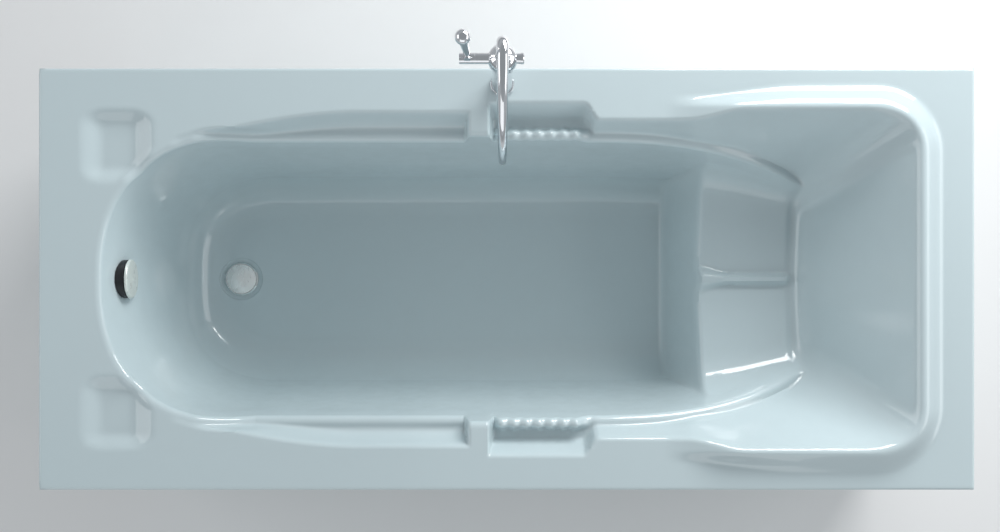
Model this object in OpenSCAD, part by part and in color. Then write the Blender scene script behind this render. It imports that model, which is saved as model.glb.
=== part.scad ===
// Bath with a moulded seat, arm rests, hand grips, pop-up waste and a rim mixer tap.
// X runs from the foot end to the seat end, Y to the tap side, Z up.
// The origin is on the floor under the middle of the rim.

/* [Rim] */
// Length of the rim
rim_l = 1700; // [1640:10:1760]
// Width of the rim
rim_w = 766; // [740:2:800]
// Height of the rim above the floor
rim_h = 570; // [550:5:600]
// Height of the turned-down lip
lip_h = 35; // [28:1:45]
// Thickness of the lip
lip_t = 5; // [4:0.5:6]
// Rounding of the rim's outer edge
edge_r = 5; // [3:0.5:6]
// Thickness of the moulded shell
shell_t = 8; // [7:0.5:9]

/* [Well] */
// Height of the well's floor above the ground
floor_z = 170; // [160:5:180]
// Width of the deck beside the well
deck_w = 129; // [124:1:134]
// Width of the deck at the foot end
foot_deck = 112; // [100:2:124]
// Length of the rounded foot end
nose_l = 272; // [250:2:290]
// Squareness of the rounded foot end
nose_power = 2.4; // [2:0.1:3]
// How far a side wall leans in on its way down
side_run = 58; // [48:1:70]
// How far the foot wall leans in on its way down
foot_run = 83; // [70:1:100]
// Fillet between wall and floor
floor_r = 80; // [60:2:90]
// Rounding at the top of the wall
crest_r = 12; // [8:1:14]
// Fall of the floor towards the waste
floor_fall = 5; // [3:0.5:7]

/* [Seat] */
// Drop from the rim to the seat
seat_drop = 220; // [200:5:240]
// Distance from the seat end to the foot of the riser
riser_in = 519; // [500:1:540]
// How far the riser leans
riser_run = 50; // [45:1:70]
// Rise of a thigh pan from its middle to its side
pan_rise = 20; // [10:1:24]
// Height of the divider between the thigh pans
divider_h = 16; // [10:1:20]
// Half width of the divider
divider_w = 14; // [10:1:20]
// Widening of the divider at the front of the seat
divider_flare = 18; // [10:1:24]
// Horizontal run of the backrest
back_run = 170; // [155:1:185]

/* [Surround] */
// Height of the raised surround behind the shoulders
ridge_h = 25; // [15:1:30]
// Distance from the seat end to the crest of the surround
ridge_end_in = 105; // [95:1:115]
// Distance from the side edge to the crest of the surround
ridge_side_in = 77; // [72:1:82]
// Width of the outer slope of the surround
ridge_w = 50; // [40:1:54]
// Distance from the seat end to where the surround starts
ridge_start_in = 567; // [540:1:590]
// Roundness of the corners of the shoulder bowl
bowl_soft = 150; // [100:5:180]

/* [Ledges and arm rests] */
// Depth of the side ledges and arm rests
ledge_d = 40; // [30:1:46]
// Width from the wall to the outer edge of a ledge
ledge_w = 49; // [42:1:52]
// Distance from the foot end to where a ledge starts
ledge_start_in = 242; // [220:1:260]
// Place along the tub where a ledge ends
ledge_end = -67; // [-80:1:-60]
// Width from the wall to the outer edge of an arm rest
arm_w = 35; // [30:1:42]
// Distance from the seat end to the tip of an arm rest
arm_tip_in = 262; // [255:1:270]
// How far an arm rest turns in at its tip
arm_turn_in = 75; // [60:1:80]
// Fall of an arm rest to its tip
arm_fall = 157; // [140:1:165]

/* [Hand grips] */
// Place along the tub where a grip starts
grip_x = -34; // [-40:1:-28]
// Length of a grip
grip_l = 174; // [165:1:190]
// Width from the wall to the outer edge of a grip
grip_w = 66; // [60:1:70]
// Depth of a grip
grip_d = 46; // [36:1:50]
// Height of the inner lip above the bottom of a grip
grip_lip = 22; // [14:1:26]
// Number of finger ribs
rib_n = 7; // [5:1:8]
// Spacing of the finger ribs
rib_pitch = 22.7; // [18:0.1:23]
// Height of a finger rib
rib_h = 5; // [2:0.5:6]

/* [Soap dishes] */
// Length of a soap dish
dish_l = 142; // [130:1:150]
// Width of a soap dish
dish_w = 142; // [130:1:150]
// Depth of a soap dish
dish_d = 15; // [12:1:20]
// Distance from the foot end to the middle of a dish
dish_in_x = 143; // [136:1:150]
// Distance from the side edge to the middle of a dish
dish_in_y = 141; // [134:1:148]

/* [Waste] */
// Distance from the foot end to the middle of the waste
drain_in = 284; // [270:1:300]
// Radius of the waste hole in the shell
drain_hole_r = 26; // [24:0.5:28]
// Radius of the shallow recess round the waste
drain_recess_r = 45; // [42:0.5:50]
// Depth of the shallow recess
drain_recess_d = 2; // [1:0.5:3]
// Radius of the waste flange
flange_r = 36; // [34:0.5:40]
// Thickness of the waste flange
flange_t = 3; // [2:0.5:4]
// Radius of the pop-up plug
plug_r = 31; // [28:0.5:33]
// Height of the plug's dome
plug_dome = 8; // [6:0.5:10]
// Radius of the plug's stem
stem_r = 4; // [3:0.5:5]
// Radius of the outlet pipe
outlet_r = 20; // [18:0.5:22]
// Radius of the trap
trap_r = 45; // [40:1:50]

/* [Overflow] */
// Drop from the rim to the middle of the overflow
overflow_drop = 85; // [75:1:95]
// Radius of the overflow's turning cap
cap_r = 37; // [34:0.5:40]
// Thickness of the turning cap
cap_t = 6; // [5:0.5:8]
// How far the overflow face stands out of the wall
face_h = 9; // [8:0.5:12]
// Radius of the hole in the shell
overflow_hole_r = 24; // [23:0.5:25]
// Radius of the overflow pipe
pipe_r = 14; // [12:0.5:15]
// Radius of the pull cable
cable_r = 2.5; // [2:0.25:3]

/* [Frame] */
// Thickness of the base board
board_t = 18; // [15:1:22]
// Size of the square frame tube
tube = 30; // [25:1:34]
// Wall of the frame tube
tube_wall = 2; // [1.5:0.25:3]
// Distance of the rails from the middle
rail_y = 150; // [130:1:170]
// Distance from the foot end to its cross member
cross_foot_in = 410; // [400:5:430]
// Distance from the seat end to its cross member
cross_seat_in = 370; // [350:5:390]
// Size of a post
post = 20; // [16:1:24]
// Width of the rim battens
batten_w = 28; // [26:1:30]
// Thickness of the rim battens
batten_t = 18; // [15:1:22]
// Thickness of the panels
panel_t = 4; // [3:0.5:5]
// Gap under the panels
panel_gap = 10; // [8:1:20]

/* [Feet] */
// Distance from the side edge to the feet
foot_in = 63; // [58:1:83]
// Radius of a foot's threaded rod
rod_r = 6; // [5:0.5:7]
// Radius of a foot's pad
pad_r = 24; // [20:1:28]
// Height of a pad's disc
pad_h = 8; // [6:1:10]

/* [Tap] */
// Place of the tap along the tub
tap_x = -8; // [-16:1:0]
// Distance from the back edge to the tap
tap_in = 30; // [29:0.5:32]
// Radius of the tap's base flange
tap_base_r = 22; // [21:0.5:23]
// Radius of the tap's column
column_r = 19; // [17:0.5:20]
// Height of the side bars above the rim
bar_h = 262; // [240:2:280]
// Radius of the left bar
bar_r = 9; // [8:0.5:10]
// Reach of the lever from the column
lever_reach = 56; // [50:1:64]
// Length of the lever up to its ball
lever_l = 94; // [80:1:100]
// Lean of the lever towards the back
lever_lean = 9.8; // [4:0.2:14]
// Lean of the lever to the left at rest
lever_side = 3.4; // [0:0.2:6]
// Radius of the lever's ball
ball_r = 12.5; // [9:0.5:14]
// Forward reach of the spout
spout_reach = 158; // [140:2:180]
// Radius of the spout where it leaves the body
spout_r = 10.5; // [9:0.25:10.75]
// Radius of the spout's tip
tip_r = 6.75; // [5:0.25:7.5]

/* [Hidden] */

$fn = 64;
slip = 0.06;    // running clearance of a shaft in its bore
loose = 0.3;    // gap between curved faces that pass each other
eps = 1;        // overshoot of a cutting body

half_l = rim_l / 2;
half_w = rim_w / 2;
well_d = rim_h - floor_z;
well_y = half_w - deck_w;
nose_x = -half_l + foot_deck + nose_l;
side_slope = well_d / side_run;
foot_slope = well_d / foot_run;
tip_slope = 0.9;
nose_y = well_y + ledge_d / side_slope;
riser_x = half_l - riser_in;
cross_foot_x = -half_l + cross_foot_in;
cross_seat_x = half_l - cross_seat_in;
foot_y = half_w - foot_in;
seat_x = riser_x + riser_run;
ridge_x = half_l - ridge_end_in;
ridge_y = half_w - ridge_side_in;
ridge_start = half_l - ridge_start_in;
back_slope = (seat_drop + ridge_h) / back_run;
crease_x = ridge_x - back_run;
arm_tip = half_l - arm_tip_in;
arm_start = grip_x + grip_l;
rib_x1 = grip_x + 25;
arm_turn_power = 2.6;
ledge_start = -half_l + ledge_start_in;
ledge_grow = ledge_end - ledge_start - 199;
slope_deck = 2;
deck_soft = 8;
riser_soft = 16;
under_ridge = 0.45;
bowl_r = 76;
drain_x = -half_l + drain_in;

// Smooth step from 0 at a to 1 at b
function step01(a, b, v) = let (t = min(1, max(0, (v - a) / (b - a)))) t * t * (3 - 2 * t);
function soft_min(a, b, k) = let (h = max(0, k - abs(a - b)) / k) min(a, b) - h * h * k / 4;
function soft_max(a, b, k) = -soft_min(-a, -b, k);
function mix(a, b, t) = a + (b - a) * t;

// Half width of the well at the height of the ledge
function well_half(x) =
    well_y - arm_turn_in * pow(max(0, (x - arm_start) / (arm_tip - arm_start)), arm_turn_power);
function wall_slope(x) =
    side_slope - (side_slope - tip_slope) * step01(riser_x - 31, arm_tip + 12, x);

// Depth of the ledge, grip or arm rest beside the well, cut larger by g for the underside
function ledge_drop(x, g = 0) =
    let (
        run = 12,
        ledge = ledge_d * step01(ledge_start - g, ledge_start + 110, x)
            * (1 - step01(ledge_end - run + g, ledge_end + g, x)),
        grip = grip_d * step01(grip_x - g, grip_x + run - g, x),
        u = max(0, (x - arm_start - 49) / (arm_tip - arm_start - 52)),
        arm = ledge_d + arm_fall * u * u
    )
    x < (ledge_end + grip_x) / 2 ? ledge : mix(grip, arm, step01(arm_start, arm_start + 27, x));

// Height level that the wall's line passes at the well's half width
function wall_ref(x) =
    let (u = max(0, (x - arm_start - 49) / (arm_tip - arm_start - 52))) ledge_d + arm_fall * u * u;

// Distance from the well to the outer edge of ledge, grip or arm rest
function ledge_reach(x) =
    ledge_w * pow(sin(90 * min(1, max(0, (x - ledge_start) / ledge_grow))), 1.2);
function edge_half(x) =
    x < (ledge_end + grip_x) / 2 ? well_y + ledge_reach(x) :
    x < arm_start ? well_y + grip_w :
    let (arm = well_y + mix(grip_w, arm_w, step01(arm_start, arm_start + 27, x)))
    mix(arm, ridge_y, step01(ridge_start + 47, ridge_start + 152, x));

// Raised surround: full height inside its crest, falling to the deck outside it
function ridge_side(x, y) =
    let (dx = x - ridge_x + bowl_r, dy = y - ridge_y + bowl_r)
    dx > 0 && dy > 0 ? norm([dx, dy]) - bowl_r : max(x - ridge_x, y - ridge_y);
function ridge(x, y) =
    let (w = ridge_w - 20 + 20 * step01(ridge_start + 62, ridge_start + 251, x))
    ridge_h * step01(ridge_start, ridge_start + 147, x) * (1 - step01(4, w, ridge_side(x, y)));

function dish(x, y, g = 0) =
    let (
        dx = x + half_l - dish_in_x,
        dy = y - half_w + dish_in_y,
        l = dish_l / 2 + g,
        w = dish_w / 2 + g,
        u = max(0, 1 - (l + dx) / 44, 1 - (l - dx) / 50),
        v = max(0, 1 - (w + dy) / 36, 1 - (w - dy) / 34)
    )
    dish_d * (1 - step01(0, 1, norm([u, v])));

// Inner lip of a grip with its finger ribs
function grip_form(x, off) =
    let (
        along = step01(grip_x + 4, grip_x + 20, x) * (1 - step01(arm_start - 12, arm_start + 20, x)),
        first = rib_x1,
        last = first + (rib_n - 1) * rib_pitch,
        in_ribs = x > first - rib_pitch / 2 && x < last + rib_pitch / 2,
        rib = in_ribs ? rib_h * (0.5 + 0.5 * cos(360 * (x - first) / rib_pitch)) : 0,
        band = step01(30, 22, off)
    )
    along * (grip_lip * step01(28, 8, off) - rib_h / 2 * band + rib * band);

// Deck level below or above the rim, for a body grown by g
function deck(x, y, edge, wall, g = 0) =
    let (
        top = ridge(x, y),
        side = (edge + 0.6 * g - y) * slope_deck,
        back = (ridge_x + 0.5 * g - x) * back_slope,
        bowl = soft_max(0, soft_min(side, back, min(bowl_soft, 12 + max(0, x - arm_start) / 2)), deck_soft),
        off = y - wall,
        drop = ledge_drop(x, 0.7 * g) + top + (off < 0 ? -1.2 * off : x > riser_x ? -0.15 * off : 0),
        grip = g == 0 ? grip_form(x, off) : 0
    )
    min(top - max(0, soft_min(bowl, drop, min(10, drop + 0.001)) - grip), g > 0 ? under_ridge * top : 99) - g;

// Level of the floor, riser, seat and backrest inside the well
function bed(x, y, g = 0) =
    let (
        fall = g == 0 ? floor_fall * min(1, max(0, (x - drain_x) / (riser_x - drain_x))) : 0,
        base = -well_d + fall,
        riser = -well_d + (x - g - riser_x) * (well_d - seat_drop) / riser_run,
        along = step01(seat_x - 16, seat_x + 2, x) * (1 - step01(crease_x - 25, crease_x + 5, x)),
        half = divider_w + divider_flare * (1 - step01(seat_x, seat_x + 60, x)),
        bump = g == 0 ? divider_h * along * (1 - step01(3, half, y)) : 0,
        seat = -seat_drop + pan_rise * y / 200 + bump,
        clear = 400 * (1 - step01(crease_x - 45, arm_tip, x)),
        side_run_up = (ridge_y + 0.6 * g - y) * slope_deck + clear,
        back = ridge_h - soft_min(side_run_up, (ridge_x + 0.5 * g - x) * back_slope, bowl_soft)
    )
    soft_max(soft_min(soft_max(base, riser, riser_soft), seat, 16), back, 16) - g;

// A station is a straight line from the rim to the middle of the well, and it carries
// marked points. Neighbouring stations are joined mark by mark.
corner_a = atan2(half_w, -half_l - nose_x);
open_xs = concat(
    [half_l, half_l - 1.5, half_l - edge_r, ridge_x + ridge_w + 10],
    [for (t = [1, 0.76, 0.5, 0.25, 0]) ridge_x + t * ridge_w],
    [for (t = [0.86, 0.68, 0.46, 0.24, 0]) ridge_x - bowl_r + t * bowl_r],
    [for (t = [0.72, 0.42, 0.16]) mix(arm_tip, ridge_x - bowl_r, t)]);
closed_xs = concat(
    [for (t = [1, 0.935, 0.86, 0.76, 0.63, 0.48, 0.33, 0.2, 0.09, 0.025, -0.015, -0.055])
        mix(seat_x, arm_tip, t)],
    [seat_x - 29, riser_x + 14, riser_x, riser_x - 19],
    [for (t = [0.75, 0.5, 0.27]) mix(arm_start + 21, riser_x - 19, t)],
    [arm_start + 36, arm_start + 22, arm_start + 12, arm_start],
    [for (i = [2 * rib_n - 1:-1:-1]) rib_x1 + i * rib_pitch / 2],
    [grip_x + 12, grip_x, (grip_x + ledge_end) / 2, ledge_end, ledge_end - 12, ledge_end - 28],
    [mix(ledge_end, nose_x, 0.4), mix(ledge_end, nose_x, 0.72), nose_x]);
side_xs = concat(open_xs, closed_xs);
fan_as = concat(
    [98, 106, 113],
    [for (i = [0:5]) mix(117.5, corner_a, i / 6)],
    [for (i = [0:6]) mix(corner_a, 153.5, i / 6)],
    [158, 163, 168, 174, 180]);
flat_marks = [0, 1, 2, 6, 14, 22, 30];
corner_marks = [0, 1, 2, 3, 3.5, 4, 5, 6, 7, 8, 10, 14, 18, 22, 30];
floor_marks = [22, 24, 26, 28];

function nose_crest(a) =
    pow(pow(abs(cos(a)) / nose_l, nose_power) + pow(abs(sin(a)) / nose_y, nose_power), -1 / nose_power);
function nose_rim(a, inset) =
    min((half_w - inset) / max(0.01, sin(a)), (half_l - inset + nose_x) / max(0.01, -cos(a)));
function nose_slope(a) = well_d / (side_run + (foot_run - side_run) * cos(a) * cos(a));

// Facts of a station: [x, crest, edge, slope, level at the crest, bed at the foot, wall, angle]
function side_facts(x, g) =
    let (
        c = well_half(x) + g,
        e = edge_half(x),
        m = wall_slope(x),
        zc = deck(x, c, e, c, g),
        ce = c + (x > arm_start + 30 ? 0 : (zc + wall_ref(x) + g) / m),
        high = max(0.5, zc - bed(x, c * 0.8, g)),
        bend = min((floor_r + g) * tan(atan(m) / 2), 0.55 * high / sin(atan(m))),
        foot = max(0, ce - high / m - bend)
    )
    [x, ce, e, m, zc, bed(x, foot, g), c, 0];
function nose_level(x, y, r, e, drop, g) =
    -g - dish(x, y, g) - min(drop, soft_max(0, (e + 0.6 * g - r) * slope_deck, deck_soft));
function fan_facts(a, g) =
    let (
        r = nose_crest(a),
        px = nose_x + r * cos(a),
        e = r + ledge_reach(px) - (nose_y - well_y),
        m = nose_slope(a),
        zc = nose_level(px, r * sin(a), r, max(e, r + 1), ledge_drop(px, 0.7 * g), g)
    )
    [px, r + g + (zc + g) / m, max(e, r + 1), m, zc, bed(nose_x, 0, g), r, a];

// Radii of crest and fillet, limited by the height of the wall
function wall_radii(f, g) =
    let (a = atan(f[3]), lim = max(0.5, f[4] - f[5]) / (tan(a / 2) * sin(a)))
    [min(max(crest_r - g, 4), 0.35 * lim), min(floor_r + g, 0.55 * lim)];
function wall_marks(f, rr) =
    let (
        a = atan(f[3]),
        tc = rr[0] * tan(a / 2),
        sc = (f[4] - f[5]) / f[3] + rr[1] * tan(a / 2),
        bend = rr[1] * sin(a),
        low = f[1] - sc
    )
    concat(
        [[12, f[1] + tc], [13, f[1] + 0.2 * tc], [14, f[1] - tc * cos(a)]],
        [[15, f[1] - mix(tc * cos(a), sc - bend, 0.5)], [16, low + bend]],
        [for (i = [1:3]) [16 + i, low + rr[1] * sin(a * (3 - i) / 3)]],
        [[20, low * 0.62], [22, min(45, low * 0.36)], [24, min(31, low * 0.25)],
            [26, min(13, low * 0.11)], [28, min(4, low * 0.04)], [30, 0]]);

// Level across the wall at distance s inwards from the crest
function wall_level(s, f, rr, z_out, z_in) =
    let (
        a = atan(f[3]),
        tc = rr[0] * tan(a / 2),
        sc = (f[4] - f[5]) / f[3] + rr[1] * tan(a / 2)
    )
    s <= -tc ? z_out :
    s < tc * cos(a) ? f[4] - rr[0] + sqrt(max(0, rr[0] * rr[0] - (s + tc) * (s + tc))) :
    s < sc - rr[1] * sin(a) ? f[4] - f[3] * s :
    s < sc ? f[5] + rr[1] - sqrt(max(0, rr[1] * rr[1] - (sc - s) * (sc - s))) :
    z_in;

// Marks between the rim and the wall
function band_marks(f, t0) =
    let (
        e = f[2],
        high = f[0] > riser_x ? ridge(f[0], e) : 0,
        foot = max(t0 + 8, min(e - 16, e - (ledge_drop(f[0]) + high) / slope_deck)),
        grip = f[7] == 0 && f[0] > grip_x && f[0] < arm_start
    )
    e - t0 < 32 ?
        [for (i = [0:5]) [5 + i, mix(t0, max(e, t0 + 6) + 5, [1, 0.84, 0.68, 0.5, 0.34, 0.17][i])]] :
    concat(
        [[5, e + 5], [6, e - 1], [7, e - 6]],
        f[0] > seat_x + 40 && f[7] == 0 ?
            [[8, mix(foot, e - 6, 0.72)], [8.3, mix(foot, e - 6, 0.46)], [8.6, mix(foot, e - 6, 0.2)]] :
            [[8, (e - 6 + foot) / 2]],
        [[9, foot + 2], [10, foot - 4]],
        grip ? [[11, t0 + 18], [11.3, t0 + 12], [11.6, t0 + 5]] : []);
function dish_marks(f, t0) =
    let (a = f[7], far = min(nose_rim(a, 16), (dish_w / 2 + half_w - dish_in_y + 4) / sin(a),
        (half_l - dish_in_x + dish_l / 2 + 4 + nose_x) / -cos(a)))
    [for (i = [0:11]) [[3, 3.5, 4, 5, 5.5, 6, 6.5, 7, 8, 9, 9.5, 10][i], mix(far, t0 + 5, i / 11)]];
function rim_marks(f) =
    f[7] == 0 ? [[0, half_w], [1, half_w - 1.5], [2, half_w - edge_r]] :
    [[0, nose_rim(f[7], 0)], [1, nose_rim(f[7], 1.5)], [2, nose_rim(f[7], edge_r)]];
function closed_marks(f) =
    let (
        wall = wall_marks(f, wall_radii(f, 0)),
        t0 = wall[0][1],
        in_seat = f[7] == 0 && f[0] > seat_x - 20,
        dished = f[7] > 116 && f[7] < 154,
        band = band_marks(f, t0),
        b0 = band[0][1],
        far = f[7] == 0 ? half_w : nose_rim(f[7], 0)
    )
    concat(
        rim_marks(f),
        dished ? dish_marks(f, t0) : concat(
            f[7] > 0 ? [[3.5, mix(b0, far, 0.5)]] :
            f[0] > ridge_start - 20 ?
                [for (i = [0:2])
                    [3 + i / 2, mix(max(b0 + 3, ridge_y + 9), ridge_y + ridge_w, 1 - i / 2)]] : [],
            band),
        [for (p = wall) if (in_seat || len(search(p[0], floor_marks)) == 0) p]);

// Marks of a station beyond the arm rests, following the rounded corner of the bowl
tip_marks = [for (p = closed_marks(side_facts(arm_tip, 0))) if (p[0] > 7) p];
function round_half(x, r) = ridge_y - bowl_r + sqrt(max(0, r * r - pow(max(0, x - ridge_x + bowl_r), 2)));
function open_marks(x) =
    let (
        yr = round_half(x, bowl_r),
        yo = max(yr + 24, round_half(x, bowl_r + ridge_w)),
        t = pow(min(1, (x - arm_tip) / (ridge_x - bowl_r - arm_tip)), 0.7),
        n = len(tip_marks) - 1,
        all = concat(
            [[0, half_w], [1, half_w - 1.5], [2, half_w - edge_r]],
            [[3, yo], [3.5, mix(yr, yo, 0.72)], [4, mix(yr, yo, 0.46)], [5, mix(yr, yo, 0.2)]],
            [[6, yr], [7, yr - 7]],
            [for (i = [0:n]) [tip_marks[i][0], mix(tip_marks[i][1], (yr - 16) * (1 - i / n), t)]])
    )
    x > ridge_x + ridge_w + 5 ? [for (p = all) if (len(search(p[0], flat_marks)) > 0) p] :
    x > ridge_x - 1 ? [for (p = all) if (len(search(p[0], corner_marks)) > 0) p] :
    all;

// Marks of the underside
under_wall = [12, 14, 16, 17, 18, 19, 30];
function lip_marks(f) =
    let (a = f[7], t = lip_t - 0.5)
    a == 0 ? [[0, half_w], [1, half_w - t], [2, half_w - lip_t]] :
    [[0, nose_rim(a, 0)], [1, nose_rim(a, t)], [2, nose_rim(a, lip_t)]];
function under_closed(f) =
    let (
        wall = [for (p = wall_marks(f, wall_radii(f, shell_t))) if (len(search(p[0], under_wall)) > 0) p],
        t0 = wall[0][1],
        e = max(f[2] + 0.6 * shell_t, t0 + 7),
        high = f[0] > riser_x ? ridge(f[0], f[2]) : 0,
        foot = max(t0 + 3, min(e - 5, e - (ledge_drop(f[0]) + high) / slope_deck)),
        dish_far = dish_marks(f, t0)[0][1] + 6
    )
    concat(
        lip_marks(f),
        f[7] > 116 && f[7] < 154 ? [for (i = [0:5]) [[3, 4, 5, 7, 9, 10][i], mix(dish_far, t0 + 6, i / 5)]] :
        concat(f[7] == 0 && f[0] > ridge_start - 20 ? [[3, ridge_y + ridge_w + 4]] : [],
            [[5, e + 2], [7, mix(e, foot, 0.5)], [9, foot - 1]]),
        wall);
under_tip = [for (p = under_closed(side_facts(arm_tip, shell_t))) if (p[0] > 6) p];
function under_open(x) =
    let (
        yr = round_half(x, bowl_r),
        yo = max(yr + 24, round_half(x, bowl_r + ridge_w + 4)),
        t = pow(min(1, (x - arm_tip) / (ridge_x - bowl_r - arm_tip)), 0.7),
        n = len(under_tip) - 1
    )
    concat(
        x > half_l - 1 ? [[0, half_w], [1, half_w - lip_t + 0.5]] : lip_marks([x, 0, 0, 0, 0, 0, 0, 0]),
        x > half_l - lip_t - 1 ? [] : [[3, yo], [5, (yo + yr) / 2]],
        [for (i = [0:n]) [under_tip[i][0], mix(under_tip[i][1], (yr + 5) * (1 - i / n), t)]]);

// Drop of the rim's rounded outer edge
function edge_drop(p) =
    let (
        dx = max(0, abs(p[0]) - half_l + edge_r),
        dy = max(0, abs(p[1]) - half_w + edge_r)
    )
    edge_r - sqrt(max(0, edge_r * edge_r - dx * dx - dy * dy));

side_n = len(side_xs);
open_n = len(open_xs);
fan_all = concat(fan_as, [for (i = [len(fan_as) - 2:-1:0]) 360 - fan_as[i]]);
line_n = 2 * side_n + len(fan_all);

// Every station: polar flag, place or angle, side and order from the seat end
lines = concat(
    [for (i = [0:side_n - 1]) [0, side_xs[i], 1, i]],
    [for (a = fan_all) [1, a, 1, side_n]],
    [for (i = [side_n - 1:-1:0]) [0, side_xs[i], -1, i]]);

function spot(l, r) =
    l[0] == 1 ? [nose_x + r * cos(l[1]), r * sin(l[1])] : [l[1], l[2] * r];
function line_facts(l, g) =
    l[0] == 1 ? fan_facts(l[1] > 180 ? 360 - l[1] : l[1], g) : side_facts(l[1], g);
function line_level(l, f, r, g) =
    let (
        p = spot(l, r),
        x = p[0],
        y = abs(p[1]),
        out = l[0] == 1 ? nose_level(x, y, r, f[2], ledge_drop(f[0], 0.7 * g), g) :
            deck(x, y, f[2], f[6], g)
    )
    l[3] < open_n ? out :
    wall_level(f[1] - r, f, wall_radii(f, g), out, bed(x, y, g));

function top_points(l) =
    let (f = line_facts(l, 0), ms = l[3] < open_n ? open_marks(l[1]) : closed_marks(f))
    [for (m = ms) let (p = spot(l, m[1]))
        [m[0], [p[0], p[1], rim_h + line_level(l, f, m[1], 0) - edge_drop(p)]]];
function under_points(l) =
    let (
        end = l[3] < 3,
        x = l[3] == 0 ? half_l : l[3] == 1 ? half_l - lip_t + 0.5 : half_l - lip_t,
        u = end ? [0, x, l[2], l[3]] : l,
        f = line_facts(u, shell_t),
        ms = l[3] < open_n ? under_open(end ? x : l[1]) : under_closed(f)
    )
    [for (m = ms) let (p = spot(u, m[1]), low = m[0] < 2 || l[3] < 2)
        [m[0], [p[0], p[1], rim_h + (low ? -lip_h : line_level(u, f, m[1], shell_t))]]];

// Joins two stations, given as lists of mark and point number
function quad(a, b, c, d, flip) =
    c == d ? [[a, b, c]] : flip ? [[a, b, d], [b, c, d]] : [[a, b, c], [a, c, d]];
function join(p, q, flip, i = 0, j = 0, out = []) =
    let (
        last_i = i == len(p) - 1,
        last_j = j == len(q) - 1,
        next_p = last_i ? 99 : p[i + 1][0],
        next_q = last_j ? 99 : q[j + 1][0]
    )
    last_i && last_j ? out :
    next_p == next_q ?
        join(p, q, flip, i + 1, j + 1, concat(out, quad(p[i][1], q[j][1], q[j + 1][1], p[i + 1][1], flip))) :
    next_p < next_q ? join(p, q, flip, i + 1, j, concat(out, [[p[i][1], q[j][1], p[i + 1][1]]])) :
    join(p, q, flip, i, j + 1, concat(out, [[p[i][1], q[j][1], q[j + 1][1]]]));
function turned(fs) = [for (t = fs) [t[2], t[1], t[0]]];

// Point numbers of each station; the last point lies on the middle line, shared by both sides
function starts(ps, from) =
    [for (i = 0, a = from; i <= len(ps); a = a + (i < len(ps) ? len(ps[i]) - 1 : 0), i = i + 1) a];
function middle(i) = i < side_n ? i : i >= line_n - side_n ? line_n - 1 - i : side_n - 1;
function numbered(ps, firsts, mid0) =
    [for (i = [0:len(ps) - 1])
        let (n = len(ps[i]))
        [for (k = [0:n - 1]) [ps[i][k][0], k < n - 1 ? firsts[i] + k : mid0 + middle(i)]]];

module tub_skin() {
    tops = [for (l = lines) top_points(l)];
    unders = [for (l = lines) under_points(l)];
    top_first = starts(tops, 0);
    top_mid = top_first[line_n];
    under_first = starts(unders, top_mid + side_n);
    under_mid = under_first[line_n];
    t = numbered(tops, top_first, top_mid);
    u = numbered(unders, under_first, under_mid);
    points = concat(
        [for (s = tops) for (k = [0:len(s) - 2]) s[k][1]],
        [for (i = [0:side_n - 1]) tops[i][len(tops[i]) - 1][1]],
        [for (s = unders) for (k = [0:len(s) - 2]) s[k][1]],
        [for (i = [0:side_n - 1]) unders[i][len(unders[i]) - 1][1]]);
    half = line_n / 2;
    faces = concat(
        [for (i = [0:line_n - 2]) each join(t[i], t[i + 1], i > half - 1)],
        [for (i = [0:line_n - 2]) each turned(join(u[i], u[i + 1], i > half - 1))],
        [for (i = [0:line_n - 2])
            each quad(t[i + 1][0][1], t[i][0][1], u[i][0][1], u[i + 1][0][1], i > half - 1)],
        join(u[0], t[0], false),
        join(t[line_n - 1], u[line_n - 1], true));
    polyhedron(points, turned(faces), convexity = 10);
}

// Seats of the waste, overflow and tap in the shell
under_z = floor_z - shell_t;
recess_z = floor_z - drain_recess_d;
overflow_x = -half_l + foot_deck + overflow_drop / foot_slope;
overflow_z = rim_h - overflow_drop;
overflow_tilt = atan(foot_slope);
end_wall_t = shell_t * (1 + foot_slope) / norm([1, foot_slope]);
tap_y = half_w - tap_in;
shank_r = 14;
tap_hole_r = shank_r + 1;

module at_overflow() {
    translate([overflow_x, 0, overflow_z]) rotate([0, overflow_tilt, 0]) children();
}
module at_cap() {
    translate([overflow_x, 0, overflow_z]) rotate([0, 90, 0]) children();
}
module at_drain() {
    translate([drain_x, 0, 0]) children();
}
module at_tap() {
    translate([tap_x, tap_y, rim_h]) children();
}
module ring(r1, r2, h) {
    difference() {
        cylinder(r = r1, h = h);
        translate([0, 0, -eps]) cylinder(r = r2, h = h + 2 * eps);
    }
}

module tub_shell() {
    color([0.80, 0.86, 0.88])
    difference() {
        tub_skin();
        at_drain() translate([0, 0, recess_z]) cylinder(r = drain_recess_r, h = 20);
        at_drain() translate([0, 0, under_z - 10]) cylinder(r = drain_hole_r, h = 40);
        at_overflow() translate([0, 0, -30]) cylinder(r = overflow_hole_r, h = 60);
        at_tap() translate([0, 0, -20]) cylinder(r = tap_hole_r, h = 40);
    }
}

// Boards and battens
panel_out = half_w - lip_t - loose;
panel_in = panel_out - panel_t;
end_out = half_l - lip_t - loose;
end_in = end_out - panel_t;
bond = 0.5;
batten_z = rim_h - shell_t - bond - batten_t;
batten_in = panel_in - batten_w;
board_z = under_z - board_t;
rail_z = board_z - tube;
cross_z = rail_z - tube;
board_x1 = drain_x - 74;
board_x2 = riser_x - 31;
board_hole_r = 48;
board_side = 40;

module box(x1, x2, y1, y2, z1, z2) {
    translate([x1, y1, z1]) cube([x2 - x1, y2 - y1, z2 - z1]);
}

module base_board() {
    color([0.72, 0.58, 0.40])
    difference() {
        box(board_x1, board_x2, -rail_y - board_side, rail_y + board_side, board_z, under_z);
        at_drain() translate([0, 0, board_z - eps]) cylinder(r = board_hole_r, h = board_t + 2 * eps);
    }
}

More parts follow.
